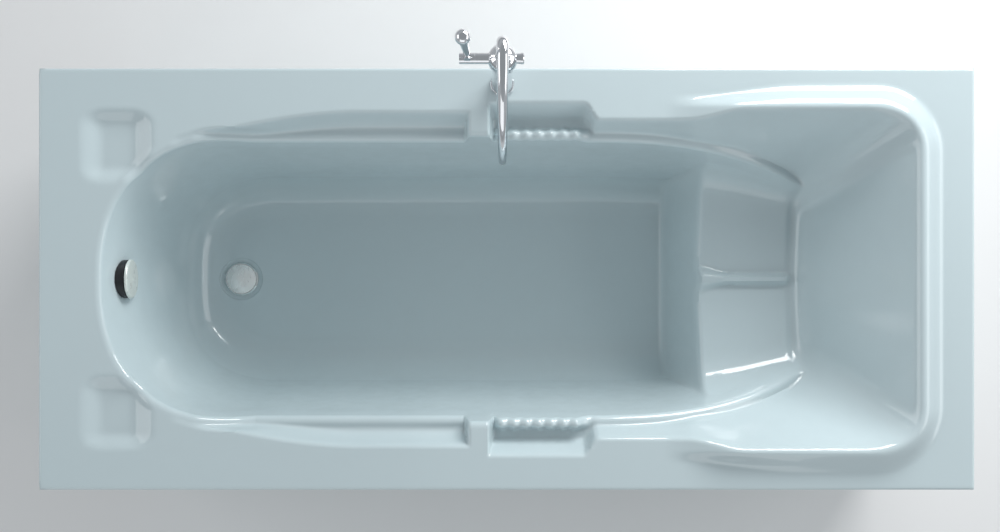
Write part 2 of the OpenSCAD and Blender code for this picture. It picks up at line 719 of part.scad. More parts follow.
seat_under = rim_h - seat_drop - shell_t;
seat_board_t = 12;
seat_board_half = 60;
seat_board_l = 100;
module seat_board() {
    color([0.72, 0.58, 0.40])
    translate([cross_seat_x, 0, seat_under - seat_board_t - loose])
        translate([-seat_board_l / 2, -seat_board_half, 0])
            cube([seat_board_l, 2 * seat_board_half, seat_board_t]);
}

screw_r = 2;
screw_hole_r = screw_r + 0.1;
bracket_t = 3;
bracket_l = 34;
post_y = batten_in + 1 + post / 2;
crosses = [cross_foot_x, cross_seat_x];
bracket_spots = [for (x = crosses) for (s = [-1, 1]) [x, s * post_y]];
screw_dx = post / 2 + bracket_l * 0.6;
module screw_spots() {
    for (p = bracket_spots) translate([p[0] + screw_dx, p[1], batten_z]) children();
}

module batten_side(s) {
    difference() {
        box(-end_in, end_in, s > 0 ? batten_in : -panel_in, s > 0 ? panel_in : -batten_in,
            batten_z, batten_z + batten_t);
        screw_spots() translate([0, 0, -eps]) cylinder(r = screw_hole_r, h = 13);
    }
}
module batten_front() {
    color([0.78, 0.64, 0.45]) batten_side(-1);
}
tap_bay = 34;
module batten_back() {
    color([0.78, 0.64, 0.45])
    difference() {
        batten_side(1);
        translate([tap_x - tap_bay, 0, batten_z - eps]) cube([2 * tap_bay, half_w, batten_t + 2 * eps]);
    }
}
module batten_left() {
    color([0.78, 0.64, 0.45])
    box(-end_in, -end_in + batten_w, -batten_in, batten_in, batten_z, batten_z + batten_t);
}
module batten_right() {
    color([0.78, 0.64, 0.45])
    box(end_in - batten_w, end_in, -batten_in, batten_in, batten_z, batten_z + batten_t);
}

// Steel frame
module tube_x(x1, x2, y, z) {
    difference() {
        box(x1, x2, y - tube / 2, y + tube / 2, z, z + tube);
        box(x1 - eps, x2 + eps, y - tube / 2 + tube_wall, y + tube / 2 - tube_wall,
            z + tube_wall, z + tube - tube_wall);
    }
}
rail_x1 = board_x1 + 30;
rail_x2 = cross_seat_x + tube / 2 + 30;
module rail_front() {
    color([0.35, 0.37, 0.40]) tube_x(rail_x1, rail_x2, -rail_y, rail_z);
}
module rail_back() {
    color([0.35, 0.37, 0.40]) tube_x(rail_x1, rail_x2, rail_y, rail_z);
}
cross_end = post_y + post / 2;
module cross_tube(x) {
    difference() {
        box(x - tube / 2, x + tube / 2, -cross_end, cross_end, cross_z, rail_z);
        box(x - tube / 2 + tube_wall, x + tube / 2 - tube_wall, -cross_end - eps, cross_end + eps,
            cross_z + tube_wall, rail_z - tube_wall);
        for (s = [-1, 1])
            translate([x, s * foot_y, cross_z - eps]) cylinder(r = rod_r + 0.5, h = tube + 2 * eps);
    }
}
module cross_foot_end() {
    color([0.35, 0.37, 0.40]) cross_tube(cross_foot_x);
}
module cross_seat_end() {
    color([0.35, 0.37, 0.40]) cross_tube(cross_seat_x);
}
module posts() {
    color([0.35, 0.37, 0.40])
    for (p = bracket_spots)
        translate([p[0], p[1], rail_z])
            difference() {
                translate([-post / 2, -post / 2, 0]) cube([post, post, batten_z - rail_z]);
                translate([-post / 2 + tube_wall, -post / 2 + tube_wall, -eps])
                    cube([post - 2 * tube_wall, post - 2 * tube_wall, batten_z - rail_z + 2 * eps]);
            }
}
prop_r = 16;
prop_plate_r = 34;
prop_plate_t = 4;
module seat_prop() {
    color([0.35, 0.37, 0.40])
    translate([cross_seat_x, 0, rail_z]) {
        ring(prop_r, prop_r - tube_wall, seat_under - seat_board_t - loose - rail_z - prop_plate_t);
        translate([0, 0, seat_under - seat_board_t - loose - rail_z - prop_plate_t])
            cylinder(r = prop_plate_r, h = prop_plate_t);
    }
}
module top_brackets() {
    color([0.62, 0.64, 0.66])
    for (p = bracket_spots)
        translate([p[0] + post / 2, p[1] - post / 2, batten_z])
            difference() {
                union() {
                    translate([0, 0, -bracket_l]) cube([bracket_t, post, bracket_l]);
                    translate([0, 0, -bracket_t]) cube([bracket_l, post, bracket_t]);
                }
                translate([screw_dx - post / 2, post / 2, -bracket_t - eps])
                    cylinder(r = screw_hole_r, h = bracket_t + 2 * eps);
            }
}
module bracket_screws() {
    color([0.75, 0.75, 0.72])
    screw_spots() {
        translate([0, 0, -bracket_t]) cylinder(r = screw_r, h = bracket_t + 11);
        translate([0, 0, -bracket_t - 2.5]) cylinder(r = 4, h = 2.5);
    }
}

// Levelling feet
foot_spots = [for (x = crosses) for (s = [-1, 1]) [x, s * foot_y]];
rod_top = rail_z + 46;
nut_h = 9;
nut_r = 10.5;
module foot_rod(i) {
    color([0.70, 0.71, 0.72])
    translate([foot_spots[i][0], foot_spots[i][1], pad_h]) cylinder(r = rod_r, h = rod_top - pad_h);
}
module foot_pad(i) {
    color([0.12, 0.12, 0.13])
    translate([foot_spots[i][0], foot_spots[i][1], 0])
        difference() {
            union() {
                cylinder(r = pad_r, h = pad_h);
                translate([0, 0, pad_h]) cylinder(r1 = rod_r + 7, r2 = rod_r + 4, h = 9);
            }
            translate([0, 0, pad_h]) cylinder(r = rod_r + 0.02, h = 20);
        }
}
module foot_rod_1() { foot_rod(0); }
module foot_rod_2() { foot_rod(1); }
module foot_rod_3() { foot_rod(2); }
module foot_rod_4() { foot_rod(3); }
module foot_pad_1() { foot_pad(0); }
module foot_pad_2() { foot_pad(1); }
module foot_pad_3() { foot_pad(2); }
module foot_pad_4() { foot_pad(3); }
module foot_nuts() {
    color([0.75, 0.75, 0.72])
    for (p = foot_spots)
        for (z = [cross_z - nut_h, rail_z])
            translate([p[0], p[1], z])
                difference() {
                    cylinder(r = nut_r, h = nut_h, $fn = 6);
                    translate([0, 0, -eps]) cylinder(r = rod_r + slip, h = nut_h + 2 * eps);
                }
}

// Panels behind the lip, with a turned-in foot
panel_z2 = rim_h - shell_t - 4;
foot_turn = 18;
hose_bay = 170;
module long_panel(s) {
    box(-end_out, end_out, s > 0 ? panel_in : -panel_out, s > 0 ? panel_out : -panel_in,
        panel_gap, panel_z2);
    box(-end_in, end_in, s > 0 ? panel_in - foot_turn : -panel_in, s > 0 ? panel_in : -panel_in + foot_turn,
        panel_gap, panel_gap + panel_t);
}
module panel_front() {
    color([0.82, 0.87, 0.89]) long_panel(-1);
}
module panel_back() {
    color([0.82, 0.87, 0.89])
    difference() {
        long_panel(1);
        translate([drain_x, half_w + eps, outlet_z]) rotate([90, 0, 0]) cylinder(r = outlet_r + 15, h = 40);
        box(tap_x - hose_bay, tap_x + hose_bay, panel_in - foot_turn - eps, panel_in, 0, 40);
    }
}
module short_panel(s) {
    box(s > 0 ? end_in : -end_out, s > 0 ? end_out : -end_in, -panel_in, panel_in, panel_gap, panel_z2);
    box(s > 0 ? end_in - foot_turn : -end_in, s > 0 ? end_in : -end_in + foot_turn,
        -panel_in + foot_turn, panel_in - foot_turn, panel_gap, panel_gap + panel_t);
}
module panel_left() {
    color([0.82, 0.87, 0.89]) short_panel(-1);
}
module panel_right() {
    color([0.82, 0.87, 0.89]) short_panel(1);
}
module panel_clips() {
    color([0.62, 0.64, 0.66])
    for (x = crosses)
        for (s = [-1, 1])
            box(x - 12, x + 12, s > 0 ? cross_end : -panel_in, s > 0 ? panel_in : -cross_end,
                cross_z + 4, rail_z - 4);
}
block = 20;
block_z = 130;
block_h = 240;
module corner_blocks() {
    color([0.78, 0.64, 0.45])
    for (sx = [-1, 1])
        for (sy = [-1, 1])
            translate([sx * (end_in - block / 2), sy * (panel_in - block / 2), block_z])
                translate([-block / 2, -block / 2, 0]) cube([block, block, block_h]);
}

// Waste with pop-up plug
seal_t = 1;
flange_z = recess_z + seal_t;
neck_r = drain_hole_r - 2.5;
neck_in = neck_r - 3.5;
gasket_t = 2;
body_top = under_z - gasket_t;
body_r = drain_hole_r + 0.5;
body_in = neck_r + loose;
body_low = floor_z - 72;
plug_z = flange_z + flange_t + loose;
guide_z = body_low + 12;
tee_z = floor_z - 45;
outlet_z = body_low - 26;

module drain_seal() {
    color([0.15, 0.15, 0.16])
    at_drain() translate([0, 0, recess_z]) ring(flange_r - 2, drain_hole_r, seal_t);
}
module drain_flange() {
    color([0.80, 0.81, 0.82])
    at_drain() rotate_extrude() polygon([
        [neck_in, flange_z - 20], [neck_r, flange_z - 20], [neck_r, flange_z],
        [flange_r, flange_z], [flange_r, flange_z + flange_t * 0.4], [flange_r - 3, flange_z + flange_t],
        [neck_in + 1, flange_z + flange_t], [neck_in, flange_z + flange_t - 1]]);
}
module plug_cap() {
    sphere_r = (plug_r * plug_r + plug_dome * plug_dome) / (2 * plug_dome);
    color([0.88, 0.89, 0.88])
    at_drain() translate([0, 0, plug_z])
        union() {
            cylinder(r = plug_r, h = 2);
            intersection() {
                translate([0, 0, 2 + plug_dome - sphere_r]) sphere(r = sphere_r);
                translate([0, 0, 2]) cylinder(r = plug_r, h = plug_dome + 1);
            }
        }
}
module plug_seal() {
    color([0.15, 0.15, 0.16])
    at_drain() translate([0, 0, plug_z - 6]) ring(neck_in - loose, stem_r + 0.02, 6);
}
stem_low = guide_z - 16;
module plug_stem() {
    color([0.75, 0.76, 0.77])
    at_drain() translate([0, 0, stem_low]) cylinder(r = stem_r, h = plug_z - stem_low);
}
module waste_gasket() {
    color([0.15, 0.15, 0.16])
    at_drain() translate([0, 0, body_top]) ring(drain_hole_r + 9, drain_hole_r, gasket_t);
}
gland = 12;
gland_x = body_r + 8;
cable_y = pipe_r + 10;
module waste_body() {
    color([0.88, 0.88, 0.86])
    at_drain()
        difference() {
            union() {
                translate([0, 0, body_low]) cylinder(r = body_r, h = body_top - body_low);
                translate([0, 0, body_top - 5]) cylinder(r = drain_hole_r + 9, h = 5);
                translate([0, 0, tee_z]) rotate([0, -90, 0]) cylinder(r = pipe_r - 2, h = body_r + 26);
                translate([-gland_x, cable_y - gland / 2, tee_z - gland / 2]) cube([gland_x, gland, gland]);
            }
            translate([0, 0, guide_z + 4]) cylinder(r = body_in, h = 100);
            translate([0, 0, tee_z]) rotate([0, -90, 0]) cylinder(r = pipe_r - 4, h = 80);
            translate([0, 0, body_low - eps]) cylinder(r = stem_r + slip, h = 60);
            for (a = [45:90:315])
                rotate([0, 0, a]) translate([13.5, 0, body_low - eps]) cylinder(r = 6.5, h = 60);
        }
}
module trap() {
    color([0.90, 0.90, 0.88])
    at_drain()
        difference() {
            union() {
                translate([0, 0, body_low - 60]) cylinder(r = trap_r, h = 54);
                translate([0, 0, body_low - 8]) cylinder(r = body_r + 6, h = 20);
                translate([0, 0, outlet_z]) rotate([-90, 0, 0]) cylinder(r = outlet_r + 4, h = trap_r + 22);
            }
            translate([0, 0, body_low - 57]) cylinder(r = trap_r - 3, h = 48);
            translate([0, 0, body_low - 20]) cylinder(r = body_r - 4, h = 40);
            translate([0, 0, body_low]) cylinder(r = body_r + 0.1, h = 20);
            translate([0, 0, outlet_z]) rotate([-90, 0, 0]) cylinder(r = outlet_r - 2, h = trap_r + 5);
            translate([0, trap_r + 2, outlet_z]) rotate([-90, 0, 0]) cylinder(r = outlet_r - 0.9, h = 40);
        }
}
outlet_end = panel_in - 6;
outlet_in = outlet_r - 1;
spigot_len = 45;
module outlet_pipe() {
    color([0.90, 0.90, 0.88])
    at_drain() translate([0, trap_r + 2, outlet_z]) rotate([-90, 0, 0])
        difference() {
            union() {
                cylinder(r = outlet_in, h = outlet_end - trap_r - 2 - spigot_len);
                translate([0, 0, outlet_end - trap_r - 2 - spigot_len])
                    cylinder(r = outlet_r, h = spigot_len);
            }
            translate([0, 0, -eps]) cylinder(r = outlet_in - 2, h = outlet_end);
        }
}

// Overflow: neck and body stand square to the leaning wall, face and cap look along the tub
cap_gap = 1.5;
face_z = 1.5;
neck_o = overflow_hole_r - 2;
spindle_r = 5;
module overflow_face() {
    color([0.05, 0.05, 0.06])
    difference() {
        union() {
            intersection() {
                at_cap() translate([0, 0, -20]) cylinder(r = cap_r - 1, h = face_h + 20);
                at_overflow() translate([-60, -60, face_z]) cube([120, 120, 60]);
            }
            at_overflow() translate([0, 0, -end_wall_t - 14])
                cylinder(r = neck_o, h = end_wall_t + 14 + face_z + eps);
        }
        at_cap() translate([0, 0, face_h - 4]) ring(cap_r - 4, spindle_r + 4, face_h);
        at_cap() translate([0, 0, -60]) cylinder(r = spindle_r + slip, h = 100);
        at_overflow()
            for (a = [30:60:330])
                rotate([0, 0, a]) translate([14.5, 0, -end_wall_t - 14 - eps]) cylinder(r = 4.6, h = 60);
    }
}
module overflow_cap() {
    color([0.82, 0.83, 0.84])
    at_cap() translate([0, 0, face_h + cap_gap])
        rotate_extrude() polygon(concat(
            [[0, 0], [cap_r - 1, 0], [cap_r, 1]],
            [for (a = [0:15:90]) [cap_r - 4 + 4 * cos(a), cap_t - 4 + 4 * sin(a)]],
            [[0, cap_t + 1]]));
}
spindle_back = end_wall_t + 18;
module overflow_spindle() {
    color([0.75, 0.76, 0.77])
    at_cap() translate([0, 0, -spindle_back])
        cylinder(r = spindle_r, h = spindle_back + face_h + cap_gap);
}
module overflow_gasket() {
    color([0.15, 0.15, 0.16])
    at_overflow() translate([0, 0, -end_wall_t - 2.5]) ring(overflow_hole_r + 9, overflow_hole_r, 2.5);
}
elbow_x = overflow_x - 46;
elbow_z = overflow_z - 42;
module overflow_body() {
    color([0.88, 0.88, 0.86])
    difference() {
        union() {
            at_overflow() {
                translate([0, 0, -end_wall_t - 7.5]) cylinder(r = overflow_hole_r + 9, h = 5);
                translate([0, 0, -end_wall_t - 50]) cylinder(r = overflow_hole_r + 3, h = 46);
            }
            translate([elbow_x, 0, elbow_z - 8]) cylinder(r = pipe_r - 2, h = 42);
            translate([elbow_x - gland / 2, cable_y - gland / 2, cable_top]) cube([gland, gland, 26]);
        }
        at_overflow() {
            translate([0, 0, -end_wall_t - 15]) cylinder(r = neck_o + 0.1, h = 20);
            translate([0, 0, -end_wall_t - 46]) cylinder(r = neck_o - 1, h = 40);
        }
        translate([elbow_x, 0, elbow_z - 8 - eps]) cylinder(r = pipe_r - 4, h = 48);
    }
}
bend_r = 62;
elbow_drop = elbow_z - tee_z;
module bend(r_in) {
    translate([bend_r, 0, bend_r]) rotate([90, 0, 0]) rotate_extrude(angle = 90, start = 180)
        translate([bend_r, 0]) difference() {
            circle(r = pipe_r);
            circle(r = r_in);
        }
}
tee_x = drain_x - body_r - 4;
module overflow_pipe() {
    color([0.80, 0.80, 0.78])
    translate([elbow_x, 0, tee_z]) {
        translate([0, 0, bend_r]) ring(pipe_r, pipe_r - 1.9, elbow_drop - bend_r + 3);
        bend(pipe_r - 1.9);
        translate([bend_r, 0, 0]) rotate([0, 90, 0]) ring(pipe_r, pipe_r - 1.9, tee_x - elbow_x - bend_r);
    }
}
module slip_nuts() {
    color([0.90, 0.90, 0.88]) {
        translate([elbow_x, 0, elbow_z - 19]) ring(pipe_r + 5, pipe_r + 0.05, 20);
        translate([tee_x - 22, 0, tee_z]) rotate([0, 90, 0]) ring(pipe_r + 3, pipe_r + 0.05, 20);
        at_drain() translate([0, trap_r + 22, outlet_z]) rotate([-90, 0, 0])
            ring(outlet_r + 7, outlet_in + 0.05, 16);
    }
}
cable_top = elbow_z + 12;
module pull_cable() {
    color([0.10, 0.10, 0.11])
    translate([elbow_x, cable_y, tee_z]) {
        translate([0, 0, bend_r]) cylinder(r = cable_r, h = cable_top - tee_z - bend_r);
        translate([bend_r, 0, bend_r]) rotate([90, 0, 0]) rotate_extrude(angle = 90, start = 180)
            translate([bend_r, 0]) circle(r = cable_r);
        translate([bend_r, 0, 0]) rotate([0, 90, 0])
            cylinder(r = cable_r, h = drain_x - gland_x - elbow_x - bend_r);
    }
}

// Tap on the rim
gasket_tap = 1;
base_h = 6;
shoulder_r = column_r + 5;
dome_h = 21;
stub_l = 29;
body_low_z = gasket_tap + base_h;
body_dome = bar_h + dome_h;
collar_r = shoulder_r / 2;
spigot_r = 7;
spigot_l = 14;
module tap_gasket() {
    color([0.15, 0.15, 0.16]) at_tap() ring(tap_base_r - 0.5, shank_r + 0.1, gasket_tap);
}
module tap_base() {
    color([0.80, 0.82, 0.84])
    at_tap() translate([0, 0, gasket_tap]) rotate_extrude() polygon([
        [shank_r + 0.1, 0], [tap_base_r, 0], [tap_base_r, 2.5], [tap_base_r - 1.5, 5],
        [column_r + 0.5, base_h], [shank_r + 0.1, base_h]]);
}
module tap_body() {
    color([0.80, 0.82, 0.84])
    at_tap()
        difference() {
            union() {
                rotate_extrude() polygon(concat(
                    [[0, body_low_z], [column_r, body_low_z], [column_r - 1.5, bar_h * 0.5],
                        [column_r - 0.5, bar_h - 26], [shoulder_r, bar_h - 14]],
                    [for (a = [0:10:60]) [shoulder_r * cos(a), bar_h + dome_h * sin(a)]],
                    [[collar_r, body_dome], [0, body_dome]]));
                translate([0, 0, bar_h]) rotate([0, -90, 0]) cylinder(r = bar_r, h = lever_reach - 12);
                translate([0, 0, bar_h]) rotate([0, -90, 0]) cylinder(r = 4, h = lever_reach);
                translate([0, 0, bar_h]) rotate([0, 90, 0]) cylinder(r = bar_r - 0.5, h = stub_l);
            }
            translate([0, 0, body_dome - spigot_l]) cylinder(r = spigot_r + slip, h = 40);
            translate([0, 0, body_low_z - eps]) cylinder(r = 8, h = 180);
        }
}
module tap_end_cap() {
    color([0.80, 0.82, 0.84])
    at_tap() translate([stub_l, 0, bar_h]) rotate([0, 90, 0])
        rotate_extrude() polygon([[0, 0], [bar_r + 0.3, 0], [bar_r + 0.3, 4], [bar_r - 1, 5.6], [0, 6]]);
}

// Spout centre line in the plane of Y and Z, as two joined curves from the body to the tip
spout_foot = body_dome + loose;
tip_z = 205;
spout_pts = [
    [0, spout_foot + 4], [6, spout_foot + 26], [36, spout_foot + 66], [-22, spout_foot + 65],
    [-66, spout_foot + 64], [-spout_reach + 8, spout_foot + 10], [-spout_reach, tip_z]];
function curve(p, t) =
    let (u = 1 - t) u * u * u * p[0] + 3 * u * u * t * p[1] + 3 * u * t * t * p[2] + t * t * t * p[3];
function curve_dir(p, t) =
    let (u = 1 - t) u * u * (p[1] - p[0]) + 2 * u * t * (p[2] - p[1]) + t * t * (p[3] - p[2]);
spout_steps = 26;
spout_sides = 20;
function spout_part(i) =
    i <= spout_steps / 2 ? [for (k = [0:3]) spout_pts[k]] : [for (k = [3:6]) spout_pts[k]];
function spout_t(i) = i <= spout_steps / 2 ? 2 * i / spout_steps : 2 * i / spout_steps - 1;
function spout_width(i) = mix(spout_r, tip_r, pow(i / spout_steps, 1.6));
module tap_spout() {
    rings = [for (i = [0:spout_steps])
        let (
            c = curve(spout_part(i), spout_t(i)),
            d0 = curve_dir(spout_part(i), spout_t(i)),
            d = i == 0 ? [0, 1] : i == spout_steps ? [0, -1] : d0 / norm(d0),
            r = spout_width(i)
        )
        [for (k = [0:spout_sides - 1])
            let (a = 360 * k / spout_sides, u = r * cos(a), v = r * sin(a))
            [u, c[0] - v * d[1], c[1] + v * d[0]]]];
    points = [for (q = rings) each q];
    n = spout_sides;
    faces = concat(
        [[for (k = [n - 1:-1:0]) k]],
        [[for (k = [0:n - 1]) spout_steps * n + k]],
        [for (i = [0:spout_steps - 1]) for (k = [0:n - 1])
            let (a = i * n + k, b = i * n + (k + 1) % n)
            each [[a, b + n, a + n], [a, b, b + n]]]);
    color([0.80, 0.82, 0.84])
    at_tap()
        union() {
            translate([0, 0, spout_foot]) cylinder(r = spout_r + 1, h = 6);
            translate([0, 0, body_dome - spigot_l + loose]) cylinder(r = spigot_r, h = spigot_l);
            polyhedron(points, faces, convexity = 6);
        }
}
module tap_aerator() {
    color([0.70, 0.72, 0.74])
    at_tap() translate([0, -spout_reach, tip_z - 8]) ring(tip_r - 0.3, tip_r - 2, 8);
}

// Lever: the hub turns on the bar, the lever tilts on the hub's cross pin
hub_r = bar_r;
hub_l = 25;
ear_z = hub_r + 5.5;
lever_foot_r = 5;
lever_top_r = 8.5;
module at_lever() {
    at_tap() translate([-lever_reach, 0, bar_h]) rotate([-lever_lean, 0, 0]) children();
}
module at_handle() {
    at_lever() translate([0, 0, ear_z]) rotate([0, -lever_side, 0]) translate([0, 0, -ear_z]) children();
}
module lever_hub() {
    color([0.80, 0.82, 0.84])
    at_lever()
        difference() {
            union() {
                translate([12 - loose, 0, 0]) rotate([0, -90, 0]) cylinder(r = hub_r, h = hub_l);
                for (s = [-1, 1])
                    translate([0, s * 4.75 - 1.75, 0]) {
                        translate([-5, 0, 0]) cube([10, 3.5, ear_z]);
                        translate([0, 0, ear_z]) rotate([-90, 0, 0]) cylinder(r = 5, h = 3.5);
                    }
                translate([0, -6, ear_z]) rotate([-90, 0, 0]) cylinder(r = 2, h = 12);
            }
            translate([-0.3, 0, 0]) rotate([0, 90, 0]) cylinder(r = 4 + slip, h = 30);
        }
}
module lever() {
    color([0.80, 0.82, 0.84])
    at_handle()
        difference() {
            union() {
                translate([0, 2.7, ear_z]) rotate([90, 0, 0]) cylinder(r = 4, h = 5.4);
                translate([-4, -2.7, ear_z]) cube([8, 5.4, 10]);
                translate([0, 0, ear_z + 6])
                    cylinder(r1 = lever_foot_r, r2 = lever_top_r, h = lever_l - ear_z - 6 - ball_r * 0.7);
                translate([0, 0, lever_l - ball_r]) cylinder(r = 3, h = ball_r * 0.8);
            }
            translate([0, 10, ear_z]) rotate([90, 0, 0]) cylinder(r = 2 + slip, h = 20);
        }
}
module lever_ball() {
    color([0.84, 0.86, 0.86])
    at_handle()
        difference() {
            translate([0, 0, lever_l]) sphere(r = ball_r);
            translate([0, 0, lever_l - 2 * ball_r]) cylinder(r = lever_top_r + 0.05, h = 1.3 * ball_r + 0.02);
            translate([0, 0, lever_l - 2 * ball_r]) cylinder(r = 3.02, h = 1.8 * ball_r + 0.02);
        }
}

// Fixing of the tap under the deck
shank_low = -shell_t - 46;
washer_top = -shell_t - 0.5;
washer_t = 3;
tap_nut_t = 8;
module tap_shank() {
    color([0.78, 0.66, 0.38])
    at_tap() translate([0, 0, shank_low]) ring(shank_r, shank_r - 3, body_low_z - shank_low);
}
module tap_washer() {
    color([0.15, 0.15, 0.16])
    at_tap() translate([0, 0, washer_top - washer_t]) ring(shank_r + 5, shank_r + 0.1, washer_t);
}
module tap_nut() {
    color([0.78, 0.66, 0.38])
    at_tap() translate([0, 0, washer_top - washer_t - tap_nut_t])
        difference() {
            cylinder(r = shank_r + 4.6, h = tap_nut_t, $fn = 6);
            translate([0, 0, -eps]) cylinder(r = shank_r + 0.1, h = tap_nut_t + 2 * eps);
        }
}
tail_r = 4.5;
tail_gap = 5.6;
tail_end_r = 8.33;
tail_bend_z = shank_low - 6;
tail_l = 110;
tail_lean = 14;
module tap_tails() {
    color([0.78, 0.66, 0.38])
    at_tap()
        for (s = [-1, 1])
            translate([s * tail_gap, 0, 0]) {
                translate([0, 0, tail_bend_z]) cylinder(r = tail_r, h = body_low_z - tail_bend_z);
                translate([0, 0, tail_bend_z]) rotate([0, s * (180 - tail_lean), 0])
                    difference() {
                        union() {
                            cylinder(r = tail_r, h = tail_l);
                            translate([0, 0, tail_l - 16]) cylinder(r = tail_end_r, h = 16);
                        }
                        translate([0, 0, tail_l - 40]) cylinder(r = tail_r - 1.5, h = 40 + eps);
                    }
                translate([0, 0, tail_bend_z]) sphere(r = tail_r + 0.1);
            }
}

tub_shell();
base_board();
seat_board();
batten_front();
batten_back();
batten_left();
batten_right();
rail_front();
rail_back();
cross_foot_end();
cross_seat_end();
posts();
seat_prop();
top_brackets();
bracket_screws();
foot_rod_1();
foot_rod_2();
foot_rod_3();
foot_rod_4();
foot_pad_1();
foot_pad_2();
foot_pad_3();
foot_pad_4();
foot_nuts();
panel_front();
panel_back();
panel_left();
panel_right();
panel_clips();
corner_blocks();
drain_flange();
drain_seal();
waste_body();
waste_gasket();
plug_cap();
plug_seal();
plug_stem();
trap();
slip_nuts();
outlet_pipe();
overflow_face();
overflow_cap();
overflow_spindle();
overflow_gasket();
overflow_body();
overflow_pipe();
pull_cable();
tap_base();
tap_gasket();
tap_body();
tap_end_cap();
tap_spout();
tap_aerator();
lever_hub();
lever();
lever_ball();
tap_shank();
tap_washer();
tap_nut();
tap_tails();
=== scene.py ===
"""Dresses the bath: a fine acrylic shell, a smooth spout, finishes for all other solids, a studio."""

import math

import bmesh
import bpy
from mathutils import Matrix, Vector


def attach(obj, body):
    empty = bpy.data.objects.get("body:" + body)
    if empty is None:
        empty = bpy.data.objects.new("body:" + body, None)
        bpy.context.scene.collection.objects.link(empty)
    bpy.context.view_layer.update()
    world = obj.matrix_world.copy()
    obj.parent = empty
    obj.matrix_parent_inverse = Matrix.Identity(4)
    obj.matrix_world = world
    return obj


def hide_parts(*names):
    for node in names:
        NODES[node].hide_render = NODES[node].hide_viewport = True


bl_info = {
    "name": "Moulded Bath",
    "version": (1, 0, 0),
    "blender": (4, 5, 0),
    "location": "View3D > Sidebar > Bath",
    "description": "Builds the visible surfaces of an acrylic bath with its tap and fittings",
    "category": "Object",
}

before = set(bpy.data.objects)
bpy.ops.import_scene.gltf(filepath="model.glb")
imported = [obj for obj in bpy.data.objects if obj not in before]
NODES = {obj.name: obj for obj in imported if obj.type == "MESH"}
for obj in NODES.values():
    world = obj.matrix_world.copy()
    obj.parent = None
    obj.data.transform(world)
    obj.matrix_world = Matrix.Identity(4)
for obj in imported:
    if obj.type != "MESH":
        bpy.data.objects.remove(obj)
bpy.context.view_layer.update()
MM = 0.001
MERGE_M = 2e-6

# Rim and well, in millimetres; X runs to the seat end, Y to the tap side
HALF_L = 850.0
HALF_W = 383.0
RIM_H = 570.0
LIP_H = 35.0
LIP_T = 5.0
LIP_END = LIP_T - 0.7
LIP_UNDER = LIP_T - 0.5
EDGE_R = 5.0
SHELL_T = 8.0
WELL_D = 400.0
WELL_Y = HALF_W - 129.0
NOSE_L = 272.0
NOSE_X = -HALF_L + 112.0 + NOSE_L
NOSE_POWER = 2.4
SIDE_RUN = 58.0
FOOT_RUN = 83.0
FLOOR_R = 80.0
CREST_R = 12.0
CREST_R_MIN = 4.0
CREST_SHARE = 0.35
FLOOR_SHARE = 0.55
FLOOR_SPOT = 0.8
CREST_BLEND = 12.0
FLOOR_FALL = 5.0
DRAIN_X = -HALF_L + 284.0
SIDE_SLOPE = WELL_D / SIDE_RUN
FOOT_SLOPE = WELL_D / FOOT_RUN
TIP_SLOPE = 0.9

# Seat, backrest and raised surround
SEAT_DROP = 220.0
RISER_X = HALF_L - 519.0
RISER_RUN = 50.0
RISER_SOFT = 16.0
CREASE_SOFT = 36.0
SEAT_X = RISER_X + RISER_RUN
SEAT_SOFT = 16.0
PAN_RISE = 20.0
PAN_W = 200.0
DIVIDER_H = 16.0
DIVIDER_W = 14.0
DIVIDER_FLAT = 3.0
DIVIDER_FLARE = 18.0
RIDGE_H = 25.0
RIDGE_X = HALF_L - 105.0
RIDGE_Y = HALF_W - 77.0
RIDGE_W = 50.0
RIDGE_SPREAD = 20.0
RIDGE_FLAT = 4.0
RIDGE_START = HALF_L - 567.0
BOWL_SOFT = 150.0
BOWL_SOFT_MIN = 12.0
BOWL_R = 76.0
BACK_RUN = 170.0
BACK_SLOPE = (SEAT_DROP + RIDGE_H) / BACK_RUN
CREASE_X = RIDGE_X - BACK_RUN
UNDER_RIDGE = 0.45

# Ledges, arm rests, grips and soap dishes
LEDGE_D = 40.0
LEDGE_W = 49.0
LEDGE_START = -HALF_L + 242.0
LEDGE_END = -67.0
LEDGE_RISE = 110.0
LEDGE_GROW = LEDGE_END - LEDGE_START - 199.0
LEDGE_POWER = 1.2
END_RUN = 12.0
GRIP_X = -34.0
GRIP_L = 174.0
GRIP_W = 66.0
GRIP_D = 46.0
GRIP_LIP = 22.0
BRIDGE_X = (LEDGE_END + GRIP_X) / 2
RIB_N = 7
RIB_PITCH = 22.7
RIB_H = 5.0
RIB_X1 = GRIP_X + 25.0
ARM_START = GRIP_X + GRIP_L
ARM_TIP = HALF_L - 262.0
ARM_W = 35.0
ARM_TURN_IN = 75.0
ARM_TURN_POWER = 2.6
ARM_FALL = 141.0
TIP_FALL = 40.0
TIP_BLEND = 34.0
SLOPE_DECK = 2.0
DECK_SOFT = 8.0
DROP_SOFT = 10.0
INNER_SLOPE = 1.2
SEAT_SLOPE = 0.15
GROOVE_D = 2.5
GROOVE_MID = 15.0
GROOVE_W = 36.0
GROOVE_LEDGE = 10.0
GROOVE_STOP = GRIP_X - 8.0
DISH_L = 142.0
DISH_W = 142.0
DISH_D = 15.0
DISH_X = -HALF_L + 143.0
DISH_Y = HALF_W - 141.0
DISH_RUNS = (44.0, 50.0, 36.0, 34.0)
NOSE_Y = WELL_Y + LEDGE_D / SIDE_SLOPE

# Growth of the underside's body for each millimetre of the shell's thickness
GROW_SIDE = 0.6
GROW_BACK = 0.5
GROW_LEDGE = 0.7

